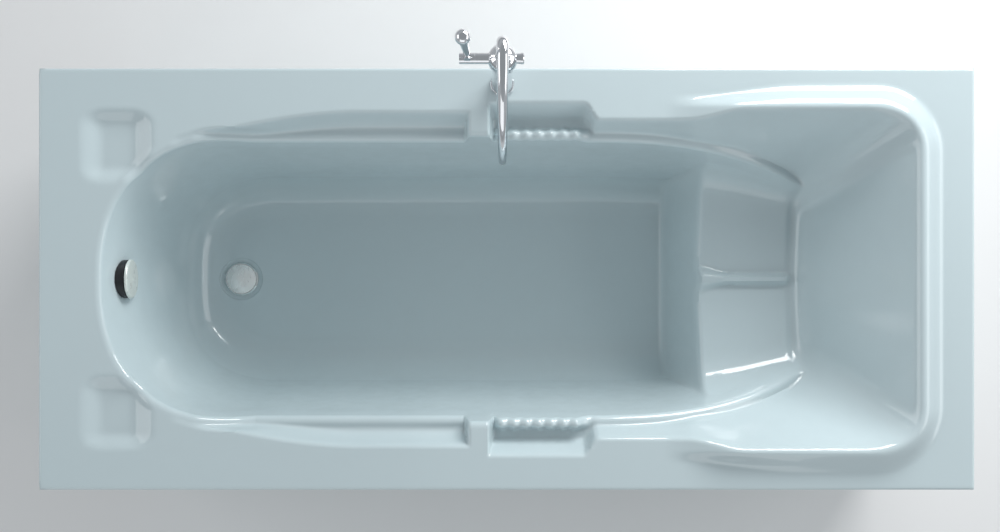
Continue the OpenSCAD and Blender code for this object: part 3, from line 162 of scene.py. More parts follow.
# Spans of smooth changes, mostly along X
WALL_EASE = (RISER_X - 31, ARM_TIP + 12)
CREST_LIFT_END = ARM_START + 30.0
ARM_BLEND = (ARM_START, ARM_START + 27)
ARM_GROOVE = (ARM_START + 14, ARM_START + 60)
ARM_FALLS = (ARM_START + 49, ARM_TIP - 3)
TIP_FALLS = (ARM_TIP - 3, ARM_TIP + 14)
SWING_OUT = (RIDGE_START + 47, RIDGE_START + 152)
RIDGE_RISES = (RIDGE_START, RIDGE_START + 147)
RIDGE_WIDENS = (RIDGE_START + 62, RIDGE_START + 251)
LIP_RISES = (GRIP_X + 4, GRIP_X + 20)
LIP_FADES = (ARM_START - 12, ARM_START + 20)
LIP_FACE = (28, 8)
RIB_FACE = (30, 22)
DIVIDER_RISES = (SEAT_X - 16, SEAT_X + 2)
DIVIDER_NARROWS = (SEAT_X, SEAT_X + 60)
DIVIDER_FADES = (CREASE_X - 25, CREASE_X + 5)
SIDES_CLOSE = (CREASE_X - 45, ARM_TIP)

# Mesh of the shell: spacing of stations along X by place, angles of the fan, rows by part
STEPS = ((GRIP_X - 4, ARM_START + 8, 2.84), (LEDGE_END - 16, GRIP_X + 8, 3.2), (-HALF_L, HALF_L, 4.9))
FAN_ANGLES = range(91, 270)
NOSE_GAP = 1.0
EDGE_N = 5
CREST_N = 5
WALL_N = 7
TOP_ROWS = (38, 34)
UNDER_ROWS = (26, 6)
EVEN_RUN = 110.0
EVEN_POWER = 0.8
SHELL_SHARP = 50.0

# Bounds that only keep a formula within its range
TINY = 0.001
NO_LIMIT = 99.0
CLEAR = 400.0
LEAST_HIGH = 0.5
LEAST_EDGE = 1.0
LEAST_TURN = 0.01

# Fittings and the spout, whose heights count from the rim
DRAIN_HOLE_R = 26.0
OVERFLOW_DROP = 85.0
OVERFLOW_X = -HALF_L + 112.0 + OVERFLOW_DROP / FOOT_SLOPE
OVERFLOW_HOLE_R = 24.0
TAP_HOLE_R = 15.0
TAP_X = -8.0
TAP_Y = HALF_W - 30.0
DRAIN_CUT = 60.0
RECESS_D = 2.0
RECESS_FLARE = 1.2
RECESS_TOP = 20.0
OVERFLOW_CUT = 30.0
TAP_CUT = 20.0
HOLE_SIDES = 72
SPOUT_FOOT = 283.3
SPOUT_REACH = 158.0
SPOUT_TIP = 205.0
SPOUT_N = 48
SPOUT_TAPER = 1.6


def held(v):
    return min(1.0, max(0.0, v))


def step01(a, b, v):
    """Smooth step from 0 at a to 1 at b."""
    t = held((v - a) / (b - a))
    return t * t * (3 - 2 * t)


def soft_min(a, b, k):
    h = max(0.0, k - abs(a - b)) / k
    return min(a, b) - h * h * k / 4


def soft_max(a, b, k):
    return -soft_min(-a, -b, k)


def mix(a, b, t):
    return a + (b - a) * t


def well_half(x):
    """Half width of the well at the height of the ledge."""
    return WELL_Y - ARM_TURN_IN * max(0.0, (x - ARM_START) / (ARM_TIP - ARM_START)) ** ARM_TURN_POWER


def wall_slope(x):
    return SIDE_SLOPE - (SIDE_SLOPE - TIP_SLOPE) * step01(*WALL_EASE, x)


def arm_drop(x):
    start, end = ARM_FALLS
    u = max(0.0, (x - start) / (end - start))
    return LEDGE_D + ARM_FALL * u * u + TIP_FALL * step01(*TIP_FALLS, x)


def ledge_drop(x, g=0.0):
    """Depth of the ledge, grip or arm rest beside the well."""
    if x < BRIDGE_X:
        rise = step01(LEDGE_START - g, LEDGE_START + LEDGE_RISE, x)
        return LEDGE_D * rise * (1 - step01(LEDGE_END - END_RUN + g, LEDGE_END + g, x))
    grip = GRIP_D * step01(GRIP_X - g, GRIP_X + END_RUN - g, x)
    return mix(grip, arm_drop(x), step01(*ARM_BLEND, x))


def ledge_reach(x):
    return LEDGE_W * math.sin(math.pi / 2 * held((x - LEDGE_START) / LEDGE_GROW)) ** LEDGE_POWER


def edge_half(x):
    """Outer edge of the ledge, grip, arm rest or surround."""
    if x < BRIDGE_X:
        return WELL_Y + ledge_reach(x)
    if x < ARM_START:
        return WELL_Y + GRIP_W
    arm = WELL_Y + mix(GRIP_W, ARM_W, step01(*ARM_BLEND, x))
    return mix(arm, RIDGE_Y, step01(*SWING_OUT, x))


def ridge(x, y):
    """Raised surround behind the shoulders."""
    dx, dy = x - RIDGE_X + BOWL_R, y - RIDGE_Y + BOWL_R
    side = math.hypot(dx, dy) - BOWL_R if dx > 0 and dy > 0 else max(x - RIDGE_X, y - RIDGE_Y)
    width = RIDGE_W - RIDGE_SPREAD + RIDGE_SPREAD * step01(*RIDGE_WIDENS, x)
    return RIDGE_H * step01(*RIDGE_RISES, x) * (1 - step01(RIDGE_FLAT, width, side))


def dish(x, y, g=0.0):
    """Depth of a soap dish, whose four sides slope over the runs in DISH_RUNS."""
    dx, dy = x - DISH_X, y - DISH_Y
    l, w = DISH_L / 2 + g, DISH_W / 2 + g
    foot, seat, inner, outer = DISH_RUNS
    u = max(0.0, 1 - (l + dx) / foot, 1 - (l - dx) / seat)
    v = max(0.0, 1 - (w + dy) / inner, 1 - (w - dy) / outer)
    return DISH_D * (1 - step01(0, 1, math.hypot(u, v)))


def groove(off, depth):
    """Channel just outside the crest, as deep as the ledge or arm rest beside it lets it be."""
    deep = GROOVE_D * step01(GROOVE_LEDGE, LEDGE_D, depth)
    return deep * step01(1, GROOVE_MID, off) * (1 - step01(GROOVE_MID, GROOVE_W, off))


def grip_form(x, off):
    """Inner lip of a hand grip with its finger ribs."""
    along = step01(*LIP_RISES, x) * (1 - step01(*LIP_FADES, x))
    last = RIB_X1 + (RIB_N - 1) * RIB_PITCH
    ribbed = RIB_X1 - RIB_PITCH / 2 < x < last + RIB_PITCH / 2
    wave = 0.5 + 0.5 * math.cos(2 * math.pi * (x - RIB_X1) / RIB_PITCH)
    rib = RIB_H * wave if ribbed else 0.0
    return along * (GRIP_LIP * step01(*LIP_FACE, off) + (rib - RIB_H / 2) * step01(*RIB_FACE, off))


def sink(lower, drop):
    """Softly the lesser of two depths."""
    return soft_min(lower, drop, min(DROP_SOFT, drop + TINY))


def deck(x, y, edge, wall, g=0.0):
    """Level of the deck relative to the rim, for a body grown by g."""
    top = ridge(x, y)
    side = (edge + GROW_SIDE * g - y) * SLOPE_DECK
    back = (RIDGE_X + GROW_BACK * g - x) * BACK_SLOPE
    rounding = min(BOWL_SOFT, BOWL_SOFT_MIN + max(0.0, x - ARM_START) / 2)
    bowl = soft_max(0.0, soft_min(side, back, rounding), DECK_SOFT)
    off = y - wall
    inward = -INNER_SLOPE * off if off < 0 else (-SEAT_SLOPE * off if x > RISER_X else 0.0)
    ledge = ledge_drop(x, GROW_LEDGE * g)
    beside = ledge if x < GROOVE_STOP or x > ARM_GROOVE[0] else 0.0
    channel = groove(off + g, beside) * (1 + step01(*ARM_GROOVE, x))
    grip = grip_form(x, off) if g == 0 else 0.0
    sunk = max(0.0, sink(bowl, ledge + top + inward + channel) - grip)
    return min(top - sunk, UNDER_RIDGE * top if g > 0 else NO_LIMIT) - g


def bed(x, y, g=0.0):
    """Level of the floor, riser, seat and backrest inside the well."""
    fall = FLOOR_FALL * held((x - DRAIN_X) / (RISER_X - DRAIN_X)) if g == 0 else 0.0
    riser = -WELL_D + (x - g - RISER_X) * (WELL_D - SEAT_DROP) / RISER_RUN
    along = step01(*DIVIDER_RISES, x) * (1 - step01(*DIVIDER_FADES, x))
    half = DIVIDER_W + DIVIDER_FLARE * (1 - step01(*DIVIDER_NARROWS, x))
    bump = DIVIDER_H * along * (1 - step01(DIVIDER_FLAT, half, y)) if g == 0 else 0.0
    seat = -SEAT_DROP + PAN_RISE * y / PAN_W + bump
    clear = CLEAR * (1 - step01(*SIDES_CLOSE, x))
    side = (RIDGE_Y + GROW_SIDE * g - y) * SLOPE_DECK + clear
    back = RIDGE_H - soft_min(side, (RIDGE_X + GROW_BACK * g - x) * BACK_SLOPE, BOWL_SOFT)
    low = soft_min(soft_max(-WELL_D + fall, riser, RISER_SOFT), seat, SEAT_SOFT)
    return soft_max(low, back, CREASE_SOFT) - g


def nose_crest(a):
    c, s = abs(math.cos(a)) / NOSE_L, abs(math.sin(a)) / NOSE_Y
    return (c**NOSE_POWER + s**NOSE_POWER) ** (-1 / NOSE_POWER)


def nose_rim(a, inset):
    return min(
        (HALF_W - inset) / max(LEAST_TURN, math.sin(a)),
        (HALF_L - inset + NOSE_X) / max(LEAST_TURN, -math.cos(a)),
    )


class Station:
    """A straight line across the rim, deck and wall to the middle of the well."""

    def __init__(self, place, fan, g):
        self.place, self.fan, self.g = place, fan, g
        self.open = not fan and place > ARM_TIP
        self.turn = 0.0
        if fan:
            self.turn = place if place <= math.pi else 2 * math.pi - place
            self.wall = nose_crest(self.turn)
            x = NOSE_X + self.wall * math.cos(self.turn)
            self.edge = max(self.wall + ledge_reach(x) - (NOSE_Y - WELL_Y), self.wall + LEAST_EDGE)
            self.slope = WELL_D / (SIDE_RUN + (FOOT_RUN - SIDE_RUN) * math.cos(self.turn) ** 2)
            self.drop = ledge_drop(x, GROW_LEDGE * g)
            self.top = self.nose(self.wall, x, self.wall * math.sin(self.turn))
            self.crest = self.wall + g + (self.top + g) / self.slope
            self.foot_level = bed(NOSE_X, 0.0, g)
            angle = math.atan(self.slope)
        else:
            x = min(place, ARM_TIP)
            self.wall = well_half(x) + g
            self.edge = edge_half(x)
            self.slope = wall_slope(x)
            self.top = deck(x, self.wall, self.edge, self.wall, g)
            self.crest = self.wall
            if x <= CREST_LIFT_END:
                self.crest += (self.top + arm_drop(x) + g) / self.slope
            high = max(LEAST_HIGH, self.top - bed(x, self.crest * FLOOR_SPOT, g))
            angle = math.atan(self.slope)
            bend = min((FLOOR_R + g) * math.tan(angle / 2), FLOOR_SHARE * high / math.sin(angle))
            self.foot_level = bed(x, max(0.0, self.crest - high / self.slope - bend), g)
        most = max(LEAST_HIGH, self.top - self.foot_level) / (math.tan(angle / 2) * math.sin(angle))
        self.crest_r = min(max(CREST_R - g, CREST_R_MIN), CREST_SHARE * most)
        self.foot_r = min(FLOOR_R + g, FLOOR_SHARE * most)
        self.angle = angle
        self.crest_run = self.crest_r * math.tan(angle / 2)
        self.wall_run = (self.top - self.foot_level) / self.slope + self.foot_r * math.tan(angle / 2)

    def nose(self, r, x, y):
        """Level of the deck round the foot end."""
        lower = soft_max(0.0, (self.edge + GROW_SIDE * self.g - r) * SLOPE_DECK, DECK_SOFT)
        drop = self.drop + groove(r - self.wall + NOSE_Y - WELL_Y, self.drop)
        return -self.g - dish(x, y, self.g) - max(0.0, sink(lower, drop))

    def rim(self, inset):
        return nose_rim(self.turn, inset) if self.fan else HALF_W - inset

    def spot(self, r, side):
        if self.fan:
            return NOSE_X + r * math.cos(self.place), r * math.sin(self.place)
        return self.place, side * r

    def walls(self, r, x, y):
        """Level with the wall's crest and fillet."""
        s = self.crest - r
        if s <= -self.crest_run:
            level = self.nose(r, x, y) if self.fan else deck(x, y, self.edge, self.wall, self.g)
            return mix(self.top, level, step01(0, CREST_BLEND, -s - self.crest_run))
        if s < self.crest_run * math.cos(self.angle):
            rest = self.crest_r**2 - (s + self.crest_run) ** 2
            return self.top - self.crest_r + math.sqrt(max(0.0, rest))
        if s < self.wall_run - self.foot_r * math.sin(self.angle):
            return self.top - self.slope * s
        if s < self.wall_run:
            rest = self.foot_r**2 - (self.wall_run - s) ** 2
            return self.foot_level + self.foot_r - math.sqrt(max(0.0, rest))
        return bed(x, y, self.g)

    def level(self, r, x, y):
        if self.open:
            return deck(x, y, edge_half(x), well_half(x) + self.g, self.g)
        level = self.walls(r, x, y)
        if self.fan or x < ARM_TIP - TIP_BLEND:
            return level
        return mix(level, deck(x, y, self.edge, self.wall, self.g), step01(ARM_TIP - TIP_BLEND, ARM_TIP, x))

    def reaches(self, band_n, floor_n, even):
        """Distances from the middle, from the deck inwards, the same number for every station."""
        start = self.rim(EDGE_R if self.g == 0 else LIP_T)
        t0 = self.crest + self.crest_run
        low = self.crest - self.wall_run
        bend = self.foot_r * math.sin(self.angle)
        tight = self.crest_run * math.cos(self.angle)
        rows = [mix(start, t0, i / band_n) for i in range(band_n)]
        turn = self.crest_run + tight
        rows += [t0 - turn * math.sin(math.pi / 2 * i / CREST_N) for i in range(CREST_N)]
        rows += [mix(self.crest - tight, low + bend, i / WALL_N) for i in range(WALL_N)]
        rows += [low + bend * math.cos(math.pi / 2 * i / WALL_N) for i in range(WALL_N)]
        rows += [low * (1 - i / floor_n) for i in range(floor_n + 1)]
        if not self.open:
            return rows
        t = min(1.0, (self.place - ARM_TIP) / EVEN_RUN) ** EVEN_POWER
        return [mix(r, even * (1 - i / (len(rows) - 1)), t) for i, r in enumerate(rows)]


def drop_of_edge(x, y):
    """Drop of the rim's rounded outer edge."""
    dx = max(0.0, abs(x) - HALF_L + EDGE_R)
    dy = max(0.0, abs(y) - HALF_W + EDGE_R)
    return EDGE_R - math.sqrt(max(0.0, EDGE_R**2 - dx * dx - dy * dy))


def edge_insets(n):
    return [EDGE_R * (1 - math.cos(math.pi / 2 * i / EDGE_N)) for i in range(n)]


def station_places():
    """(place, fan, side) of each station, from the seat end round the foot end and back."""
    xs = [HALF_L - inset for inset in edge_insets(EDGE_N + 1)]
    while xs[-1] > NOSE_X + 2 * NOSE_GAP:
        xs.append(xs[-1] - next(step for low, high, step in STEPS if low < xs[-1] < high))
    # The last straight line lies just off the fan's centre, so that no face between them folds
    xs[-1] = NOSE_X + NOSE_GAP
    fans = [math.radians(angle) for angle in FAN_ANGLES]
    front = [(x, False, -1) for x in reversed(xs)]
    return [(x, False, 1) for x in xs] + [(a, True, 1) for a in fans] + front


def shell_rows(place, fan, side):
    """Points of one station: the top from the rim to the middle, and the underside."""
    station = Station(place, fan, 0.0)
    top = []
    inner = station.reaches(*TOP_ROWS, HALF_W - EDGE_R)
    for r in [station.rim(inset) for inset in edge_insets(EDGE_N)] + inner:
        x, y = station.spot(r, side)
        top.append((x, y, RIM_H + station.level(r, x, abs(y)) - drop_of_edge(x, y)))
    lip_x = place if fan else min(place, HALF_L - LIP_T)
    below = Station(lip_x, fan, SHELL_T)
    edge = not fan and place > HALF_L - LIP_END
    inner = below.reaches(*UNDER_ROWS, HALF_W - LIP_T)
    under = []
    for k, r in enumerate([below.rim(0), below.rim(LIP_UNDER)] + inner):
        x, y = below.spot(r, side)
        level = -LIP_H if k < 2 or edge else below.level(r, x, abs(y))
        under.append((place if edge else x, y, RIM_H + level))
    return top, under


def mesh_object(name, verts, faces, smooth_angle=40.0):
    """A closed mesh in metres with merged points, outward faces and sharp edges by angle."""
    mesh = bpy.data.meshes.new(name)
    bm = bmesh.new()
    made = [bm.verts.new(Vector(v) * MM) for v in verts]
    for face in faces:
        if len(set(face)) > 2:
            bm.faces.new([made[i] for i in face])
    bmesh.ops.remove_doubles(bm, verts=bm.verts, dist=MERGE_M)
    bmesh.ops.recalc_face_normals(bm, faces=bm.faces)
    bm.to_mesh(mesh)
    bm.free()
    mesh.shade_smooth()
    mesh.set_sharp_from_angle(angle=math.radians(smooth_angle))
    piece = bpy.data.objects.new(name, mesh)
    bpy.context.scene.collection.objects.link(piece)
    return piece


def grid_faces(lines, rows, first=0, flip=False):
    faces = []
    for i in range(lines - 1):
        for k in range(rows - 1):
            a = first + i * rows + k
            quad = (a, a + rows, a + rows + 1, a + 1)
            faces.append(quad[::-1] if flip else quad)
    return faces


def lathe(profile, sides=64, place=None):
    """Points and faces of a closed profile of (radius, height) pairs turned about Z."""
    place = place or Matrix.Identity(4)
    verts, faces = [], []
    for r, z in profile:
        for k in range(sides):
            a = 2 * math.pi * k / sides
            verts.append(tuple(place @ Vector((r * math.cos(a), r * math.sin(a), z))))
    n = len(profile)
    for i in range(n if profile[0][0] > 0 and profile[-1][0] > 0 else n - 1):
        j = (i + 1) % n
        for k in range(sides):
            m = (k + 1) % sides
            faces.append((i * sides + k, i * sides + m, j * sides + m, j * sides + k))
    return verts, faces


def tube(points, radii, sides=40):
    """Points and faces of a round tube in the plane of Y and Z, with flat ends."""
    verts, faces = [], []
    last = len(points) - 1
    for i, (y, z) in enumerate(points):
        before, after = points[max(0, i - 1)], points[min(last, i + 1)]
        d = Vector((after[0] - before[0], after[1] - before[1])).normalized()
        for k in range(sides):
            a = 2 * math.pi * k / sides
            u, v = radii[i] * math.cos(a), radii[i] * math.sin(a)
            verts.append((u, y - v * d.y, z + v * d.x))
    for i in range(last):
        for k in range(sides):
            m = (k + 1) % sides
            faces.append((i * sides + k, i * sides + m, (i + 1) * sides + m, (i + 1) * sides + k))
    faces.append(tuple(range(sides)))
    faces.append(tuple(last * sides + k for k in reversed(range(sides))))
    return verts, faces


def cut(piece, cutter):
    """Takes the cutter's body out of the piece for good."""
    modifier = piece.modifiers.new("Cut", "BOOLEAN")
    modifier.operation = "DIFFERENCE"
    modifier.solver = "MANIFOLD"
    modifier.object = cutter
    graph = bpy.context.evaluated_depsgraph_get()
    mesh = bpy.data.meshes.new_from_object(piece.evaluated_get(graph))
    piece.modifiers.clear()
    old = piece.data
    name = old.name
    piece.data = mesh
    bpy.data.meshes.remove(old)
    mesh.name = name
    bpy.data.objects.remove(cutter)


class Value:
    """A node socket that takes part in Python arithmetic."""

    def __init__(self, finish, socket):
        self.finish, self.socket = finish, socket

    def maths(self, operation, *values):
        inputs = dict(enumerate(values))
        return self.finish.node("ShaderNodeMath", {"operation": operation}, inputs)

    def __add__(self, other):
        return self.maths("ADD", self, other)

    __radd__ = __add__

    def __sub__(self, other):
        return self.maths("SUBTRACT", self, other)

    def __rsub__(self, other):
        return self.maths("SUBTRACT", other, self)

    def __mul__(self, other):
        return self.maths("MULTIPLY", self, other)

    __rmul__ = __mul__

    def between(self, low, high, to_low=0.0, to_high=1.0):
        """Smoothly mapped from low..high to to_low..to_high, and held beyond."""
        return self.finish.node(
            "ShaderNodeMapRange",
            {"interpolation_type": "SMOOTHSTEP"},
            {"Value": self, "From Min": low, "From Max": high, "To Min": to_low, "To Max": to_high},
        )


class Nodes:
    """A node tree that is filled through one method."""

    def __init__(self, tree):
        self.tree = tree
        self.tree.nodes.clear()

    def node(self, kind, settings, inputs, out=0):
        """Adds a node: its settings first, then values or links of its sockets."""
        node = self.tree.nodes.new(kind)
        for key, value in settings.items():
            setattr(node, key, value)
        for key, value in inputs.items():
            self.set(node.inputs[key], value)
        return Value(self, node.outputs[out]) if out is not None else node

    def set(self, socket, value):
        if isinstance(value, Value):
            self.tree.links.new(value.socket, socket)
        else:
            socket.default_value = value

    def blend(self, factor, first, second):
        """A colour between two colours."""
        first, second = (c if isinstance(c, Value) else (*c[:3], 1.0) for c in (first, second))
        return self.node("ShaderNodeMix", {"data_type": "RGBA"}, {0: factor, 6: first, 7: second}, 2)


class Finish(Nodes):
    """A material under construction round one Principled shader."""

    def __init__(self, name, colour, **constants):
        self.material = bpy.data.materials.new(name)
        self.material.use_nodes = True
        super().__init__(self.material.node_tree)
        self.colour = (*colour[:3], 1.0)
        self.shader = self.tree.nodes.new("ShaderNodeBsdfPrincipled")
        self.shader.inputs["Base Color"].default_value = self.colour
        for key, value in constants.items():
            self.shader.inputs[key.replace("_", " ")].default_value = value
        output = self.tree.nodes.new("ShaderNodeOutputMaterial")
        self.tree.links.new(self.shader.outputs[0], output.inputs["Surface"])
        self.where = self.node("ShaderNodeTexCoord", {}, {}, "Object")

    def feed(self, **values):
        for key, value in values.items():
            self.set(self.shader.inputs[key.replace("_", " ")], value)

    def stretched(self, scale):
        return self.node("ShaderNodeMapping", {}, {"Vector": self.where, "Scale": scale})

    def noise(self, scale, detail=2.0, roughness=0.5, where=None):
        return self.node(
            "ShaderNodeTexNoise",
            {},
            {"Vector": where or self.where, "Scale": scale, "Detail": detail, "Roughness": roughness},
        )

    def cells(self, scale, out="Distance", where=None):
        return self.node("ShaderNodeTexVoronoi", {}, {"Vector": where or self.where, "Scale": scale}, out)

    def shade(self, factor, darker=0.9, lighter=1.0):
        """The finish's own colour between a darker and a lighter tone."""
        first = [c * darker for c in self.colour[:3]]
        second = [min(1.0, c * lighter) for c in self.colour[:3]]
        return self.blend(factor, first, second)

    def bump(self, height, strength, distance):
        inputs = {"Height": height, "Strength": strength, "Distance": distance}
        self.feed(Normal=self.node("ShaderNodeBump", {}, inputs))
        return self


def acrylic(colour, name="Polished acrylic", polish=0.1):
    """Polished sheet with faint ripple, film marks and fine scuffs."""
    f = Finish(name, colour, IOR=1.49)
    ripple = f.noise(9.0, 2.0)
    film = f.noise(26.0, 4.0, 0.65)
    scuff = f.noise(240.0, 3.0, 0.7, f.stretched((1.0, 0.12, 0.4)))
    f.feed(Base_Color=f.shade(f.noise(3.0, 2.0), 0.985, 1.01))
    f.feed(Roughness=film.between(0.35, 0.75, polish, polish + 0.05) + scuff.between(0.62, 0.8, 0.0, 0.08))
    f.feed(Coat_Weight=film.between(0.3, 0.7, 0.55, 0.75))
    return f.bump(ripple + f.noise(420.0, 1.0) * 0.006, 0.25, 0.0012).material


def chrome(colour, name):
    """Plated brass with soft lime spots and faint wiping marks."""
    f = Finish(name, colour, Metallic=1.0)
    spots = f.cells(210.0)
    wipe = f.noise(90.0, 4.0, 0.6, f.stretched((1.0, 0.3, 1.0)))
    dull = spots.between(0.05, 0.28, 0.07, 0.0) * f.noise(24.0, 2.0).between(0.5, 0.7)
    f.feed(Roughness=wipe.between(0.3, 0.8, 0.035, 0.085) + dull)
    f.feed(Base_Color=f.shade(wipe, 0.94, 1.03))
    return f.bump(wipe, 0.05, 0.0002).material


def pearl(colour, name):
    """Satin plating: a softly shining, mostly non-metal finish with faint polishing swirls, whose pale
    colour is painted sheen.
    """
    f = Finish(name, colour, Metallic=0.25)
    swirl = f.noise(70.0, 3.0, 0.5, f.stretched((1.0, 0.4, 1.0)))
    f.feed(Base_Color=f.shade(swirl, 0.97, 1.02), Roughness=swirl.between(0.25, 0.75, 0.24, 0.33))
    f.feed(Coat_Weight=f.noise(20.0).between(0.3, 0.7, 0.3, 0.5))
    return f.bump(swirl, 0.03, 0.0002).material


def brushed(colour, name, along=(1.0, 1.0, 0.03)):
    """Drawn or brushed metal with lines along one direction."""
    f = Finish(name, colour, Metallic=1.0)
    lines = f.noise(900.0, 3.0, 0.6, f.stretched(along))
    f.feed(Roughness=lines.between(0.25, 0.75, 0.26, 0.38))
    f.feed(Base_Color=f.shade(lines * 0.6 + f.noise(14.0, 2.0) * 0.4, 0.82, 1.05))
    return f.bump(lines, 0.25, 0.0002).material


def zinc(colour, name):
    """Galvanised steel with its crystal flakes."""
    f = Finish(name, colour, Metallic=1.0)
    flakes = f.node("ShaderNodeSeparateColor", {}, {"Color": f.cells(95.0, "Color")})
    dust = f.noise(30.0, 4.0, 0.6)
    f.feed(Base_Color=f.shade(flakes * 0.7 + dust * 0.3, 0.74, 1.08))
    f.feed(Roughness=flakes.between(0.1, 0.9, 0.3, 0.48))
    return f.bump(f.noise(700.0, 2.0), 0.12, 0.0002).material


def powder_coat(colour, name):
    """Baked powder coat: fine orange peel, rubbed a little paler in places."""
    f = Finish(name, colour)
    peel = f.noise(650.0, 2.0, 0.5)
    rub = f.noise(18.0, 5.0, 0.7).between(0.56, 0.74)
    f.feed(Base_Color=f.shade(rub, 0.96, 1.22))
    f.feed(Roughness=peel.between(0.2, 0.8, 0.38, 0.5))
    return f.bump(peel, 0.35, 0.0004).material


def softwood(colour, name):
    """Planed softwood with growth lines along X and a few knots."""
    f = Finish(name, colour)
    long_way = f.stretched((1.4, 22.0, 22.0))
    rings = f.node(
        "ShaderNodeTexWave",
        {"wave_type": "BANDS", "bands_direction": "Z"},
        {"Vector": long_way, "Scale": 1.6, "Distortion": 5.5, "Detail": 3.0, "Detail Scale": 1.2},
        "Fac",
    )
    fibre = f.noise(60.0, 4.0, 0.7, f.stretched((1.0, 16.0, 16.0)))
    knots = f.cells(5.5, where=f.stretched((0.7, 3.0, 3.0))).between(0.03, 0.14, 1.0, 0.0)
    tone = rings * 0.55 + fibre * 0.45
    pale = [min(1.0, c * 1.08) for c in colour[:3]]
    late = (colour[0] * 0.74, colour[1] * 0.62, colour[2] * 0.46)
    f.feed(Base_Color=f.blend(knots * 0.7, f.blend(tone, late, pale), (0.16, 0.075, 0.03)))
    f.feed(Roughness=fibre.between(0.2, 0.8, 0.5, 0.68))
    return f.bump(fibre * 0.5 + rings * 0.5, 0.3, 0.0005).material


def chipboard(colour, name):
    """Pressed wood chips under a thin resin coat."""
    f = Finish(name, colour)
    chip_tones = f.cells(260.0, "Color", f.stretched((1, 0.45, 1)))
    chips = f.node("ShaderNodeSeparateColor", {}, {"Color": chip_tones})
    dust = f.noise(420.0, 3.0, 0.7)
    tone = chips * 0.65 + dust * 0.35
    dark = (colour[0] * 0.55, colour[1] * 0.47, colour[2] * 0.38)
    light = [min(1.0, c * 1.2) for c in colour[:3]]
    f.feed(Base_Color=f.blend(tone, dark, light), Roughness=chips.between(0.0, 1.0, 0.42, 0.62))
    return f.bump(tone, 0.3, 0.0004).material


def rubber(colour, name):
    """Dark rubber with a dusty bloom and a fine moulded grain."""
    f = Finish(name, colour)
    bloom = f.noise(40.0, 4.0, 0.65).between(0.45, 0.75)
    grain = f.noise(900.0, 2.0)
    paler = [c * 1.9 + 0.015 for c in colour[:3]]
    f.feed(Base_Color=f.blend(bloom, colour, paler), Roughness=bloom.between(0.0, 1.0, 0.62, 0.85))
    return f.bump(grain, 0.3, 0.0003).material


def plastic(colour, name, gloss=0.38, aged=0.94):
    """Moulded plastic: fine spark grain, slight flow marks and handling marks."""
    f = Finish(name, colour)
    flow = f.noise(22.0, 3.0, 0.6, f.stretched((1.0, 1.0, 0.4)))
    grain = f.noise(1100.0, 2.0)
    f.feed(Base_Color=f.shade(flow, aged, 1.04))
    f.feed(Roughness=grain.between(0.2, 0.8, gloss, gloss + 0.12) + flow.between(0.6, 0.8, 0.0, 0.1))
    return f.bump(grain, 0.2, 0.0003).material


def brass(colour, name):
    """Machined brass with turning lines and a light tarnish."""
    f = Finish(name, colour, Metallic=1.0)
    turned = f.noise(500.0, 2.0, 0.5, f.stretched((0.05, 0.05, 4.0)))
    tarnish = f.noise(35.0, 4.0, 0.7).between(0.5, 0.75)
    dark = (colour[0] * 0.55, colour[1] * 0.45, colour[2] * 0.35)
    f.feed(Base_Color=f.blend(tarnish, colour, dark))
    f.feed(Roughness=turned.between(0.2, 0.8, 0.2, 0.32) + tarnish * 0.15)
    return f.bump(turned, 0.3, 0.0002).material


class BathFormSettings(bpy.types.PropertyGroup):
    """The moulded shell."""

    acrylic_colour: bpy.props.FloatVectorProperty(
        name="Acrylic",
        description="Colour of the polished acrylic",
        subtype="COLOR",
        size=3,
        min=0.0,
        max=1.0,
        default=(0.57, 0.672, 0.70),
    )
    apron_polish: bpy.props.FloatProperty(
        name="Apron polish",
        description="Roughness of the flat aprons",
        subtype="FACTOR",
        min=0.02,
        max=0.6,
        default=0.16,
    )
    recess_radius: bpy.props.FloatProperty(
        name="Waste recess",
        description="Radius of the shallow recess round the waste",
        unit="LENGTH",
        min=0.042,
        max=0.05,
        default=0.045,
    )


class BathTapSettings(bpy.types.PropertyGroup):
    """The rim tap."""

    spout_radius: bpy.props.FloatProperty(
        name="Spout radius",
        description="Radius of the spout where it leaves the body",
        unit="LENGTH",
        min=0.008,
        max=0.0107,
        default=0.0105,
    )
    tip_radius: bpy.props.FloatProperty(
        name="Tip radius",
        description="Radius of the spout's tip",
        unit="LENGTH",
        min=0.0045,
        max=0.0068,
        default=0.00675,
    )
    chrome_colour: bpy.props.FloatVectorProperty(
        name="Chrome",
        description="Colour of the plated tap and fittings",
        subtype="COLOR",
        size=3,
        min=0.0,
        max=1.0,
        default=(0.80, 0.81, 0.83),
    )


class BathStageSettings(bpy.types.PropertyGroup):
    """Floor, light and camera."""

    floor_colour: bpy.props.FloatVectorProperty(
        name="Floor",
        description="Colour of the plain floor",
        subtype="COLOR",
        size=3,
        min=0.0,
        max=1.0,
        default=(0.80, 0.80, 0.80),
    )
    key_power: bpy.props.FloatProperty(
        name="Key light",
        description="Power of the soft light on the tap side, which the other lights follow",
        unit="POWER",
        min=0.0,
        max=400.0,
        default=72.0,
    )
    camera_height: bpy.props.FloatProperty(
        name="Camera height",
        description="Height of the camera above the floor",
        unit="LENGTH",
        min=1.5,
        max=5.0,
        default=2.77,
    )
    lens: bpy.props.FloatProperty(
        name="Lens",
        description="Focal length of the camera",
        unit="CAMERA",
        min=20.0,
        max=120.0,
        default=43.65,
    )


def bore(radius, reach):
    """Profile of a round hole's cutter, which reaches as far up as down."""
    return [(0, -reach), (radius, -reach), (radius, reach), (0, reach)]


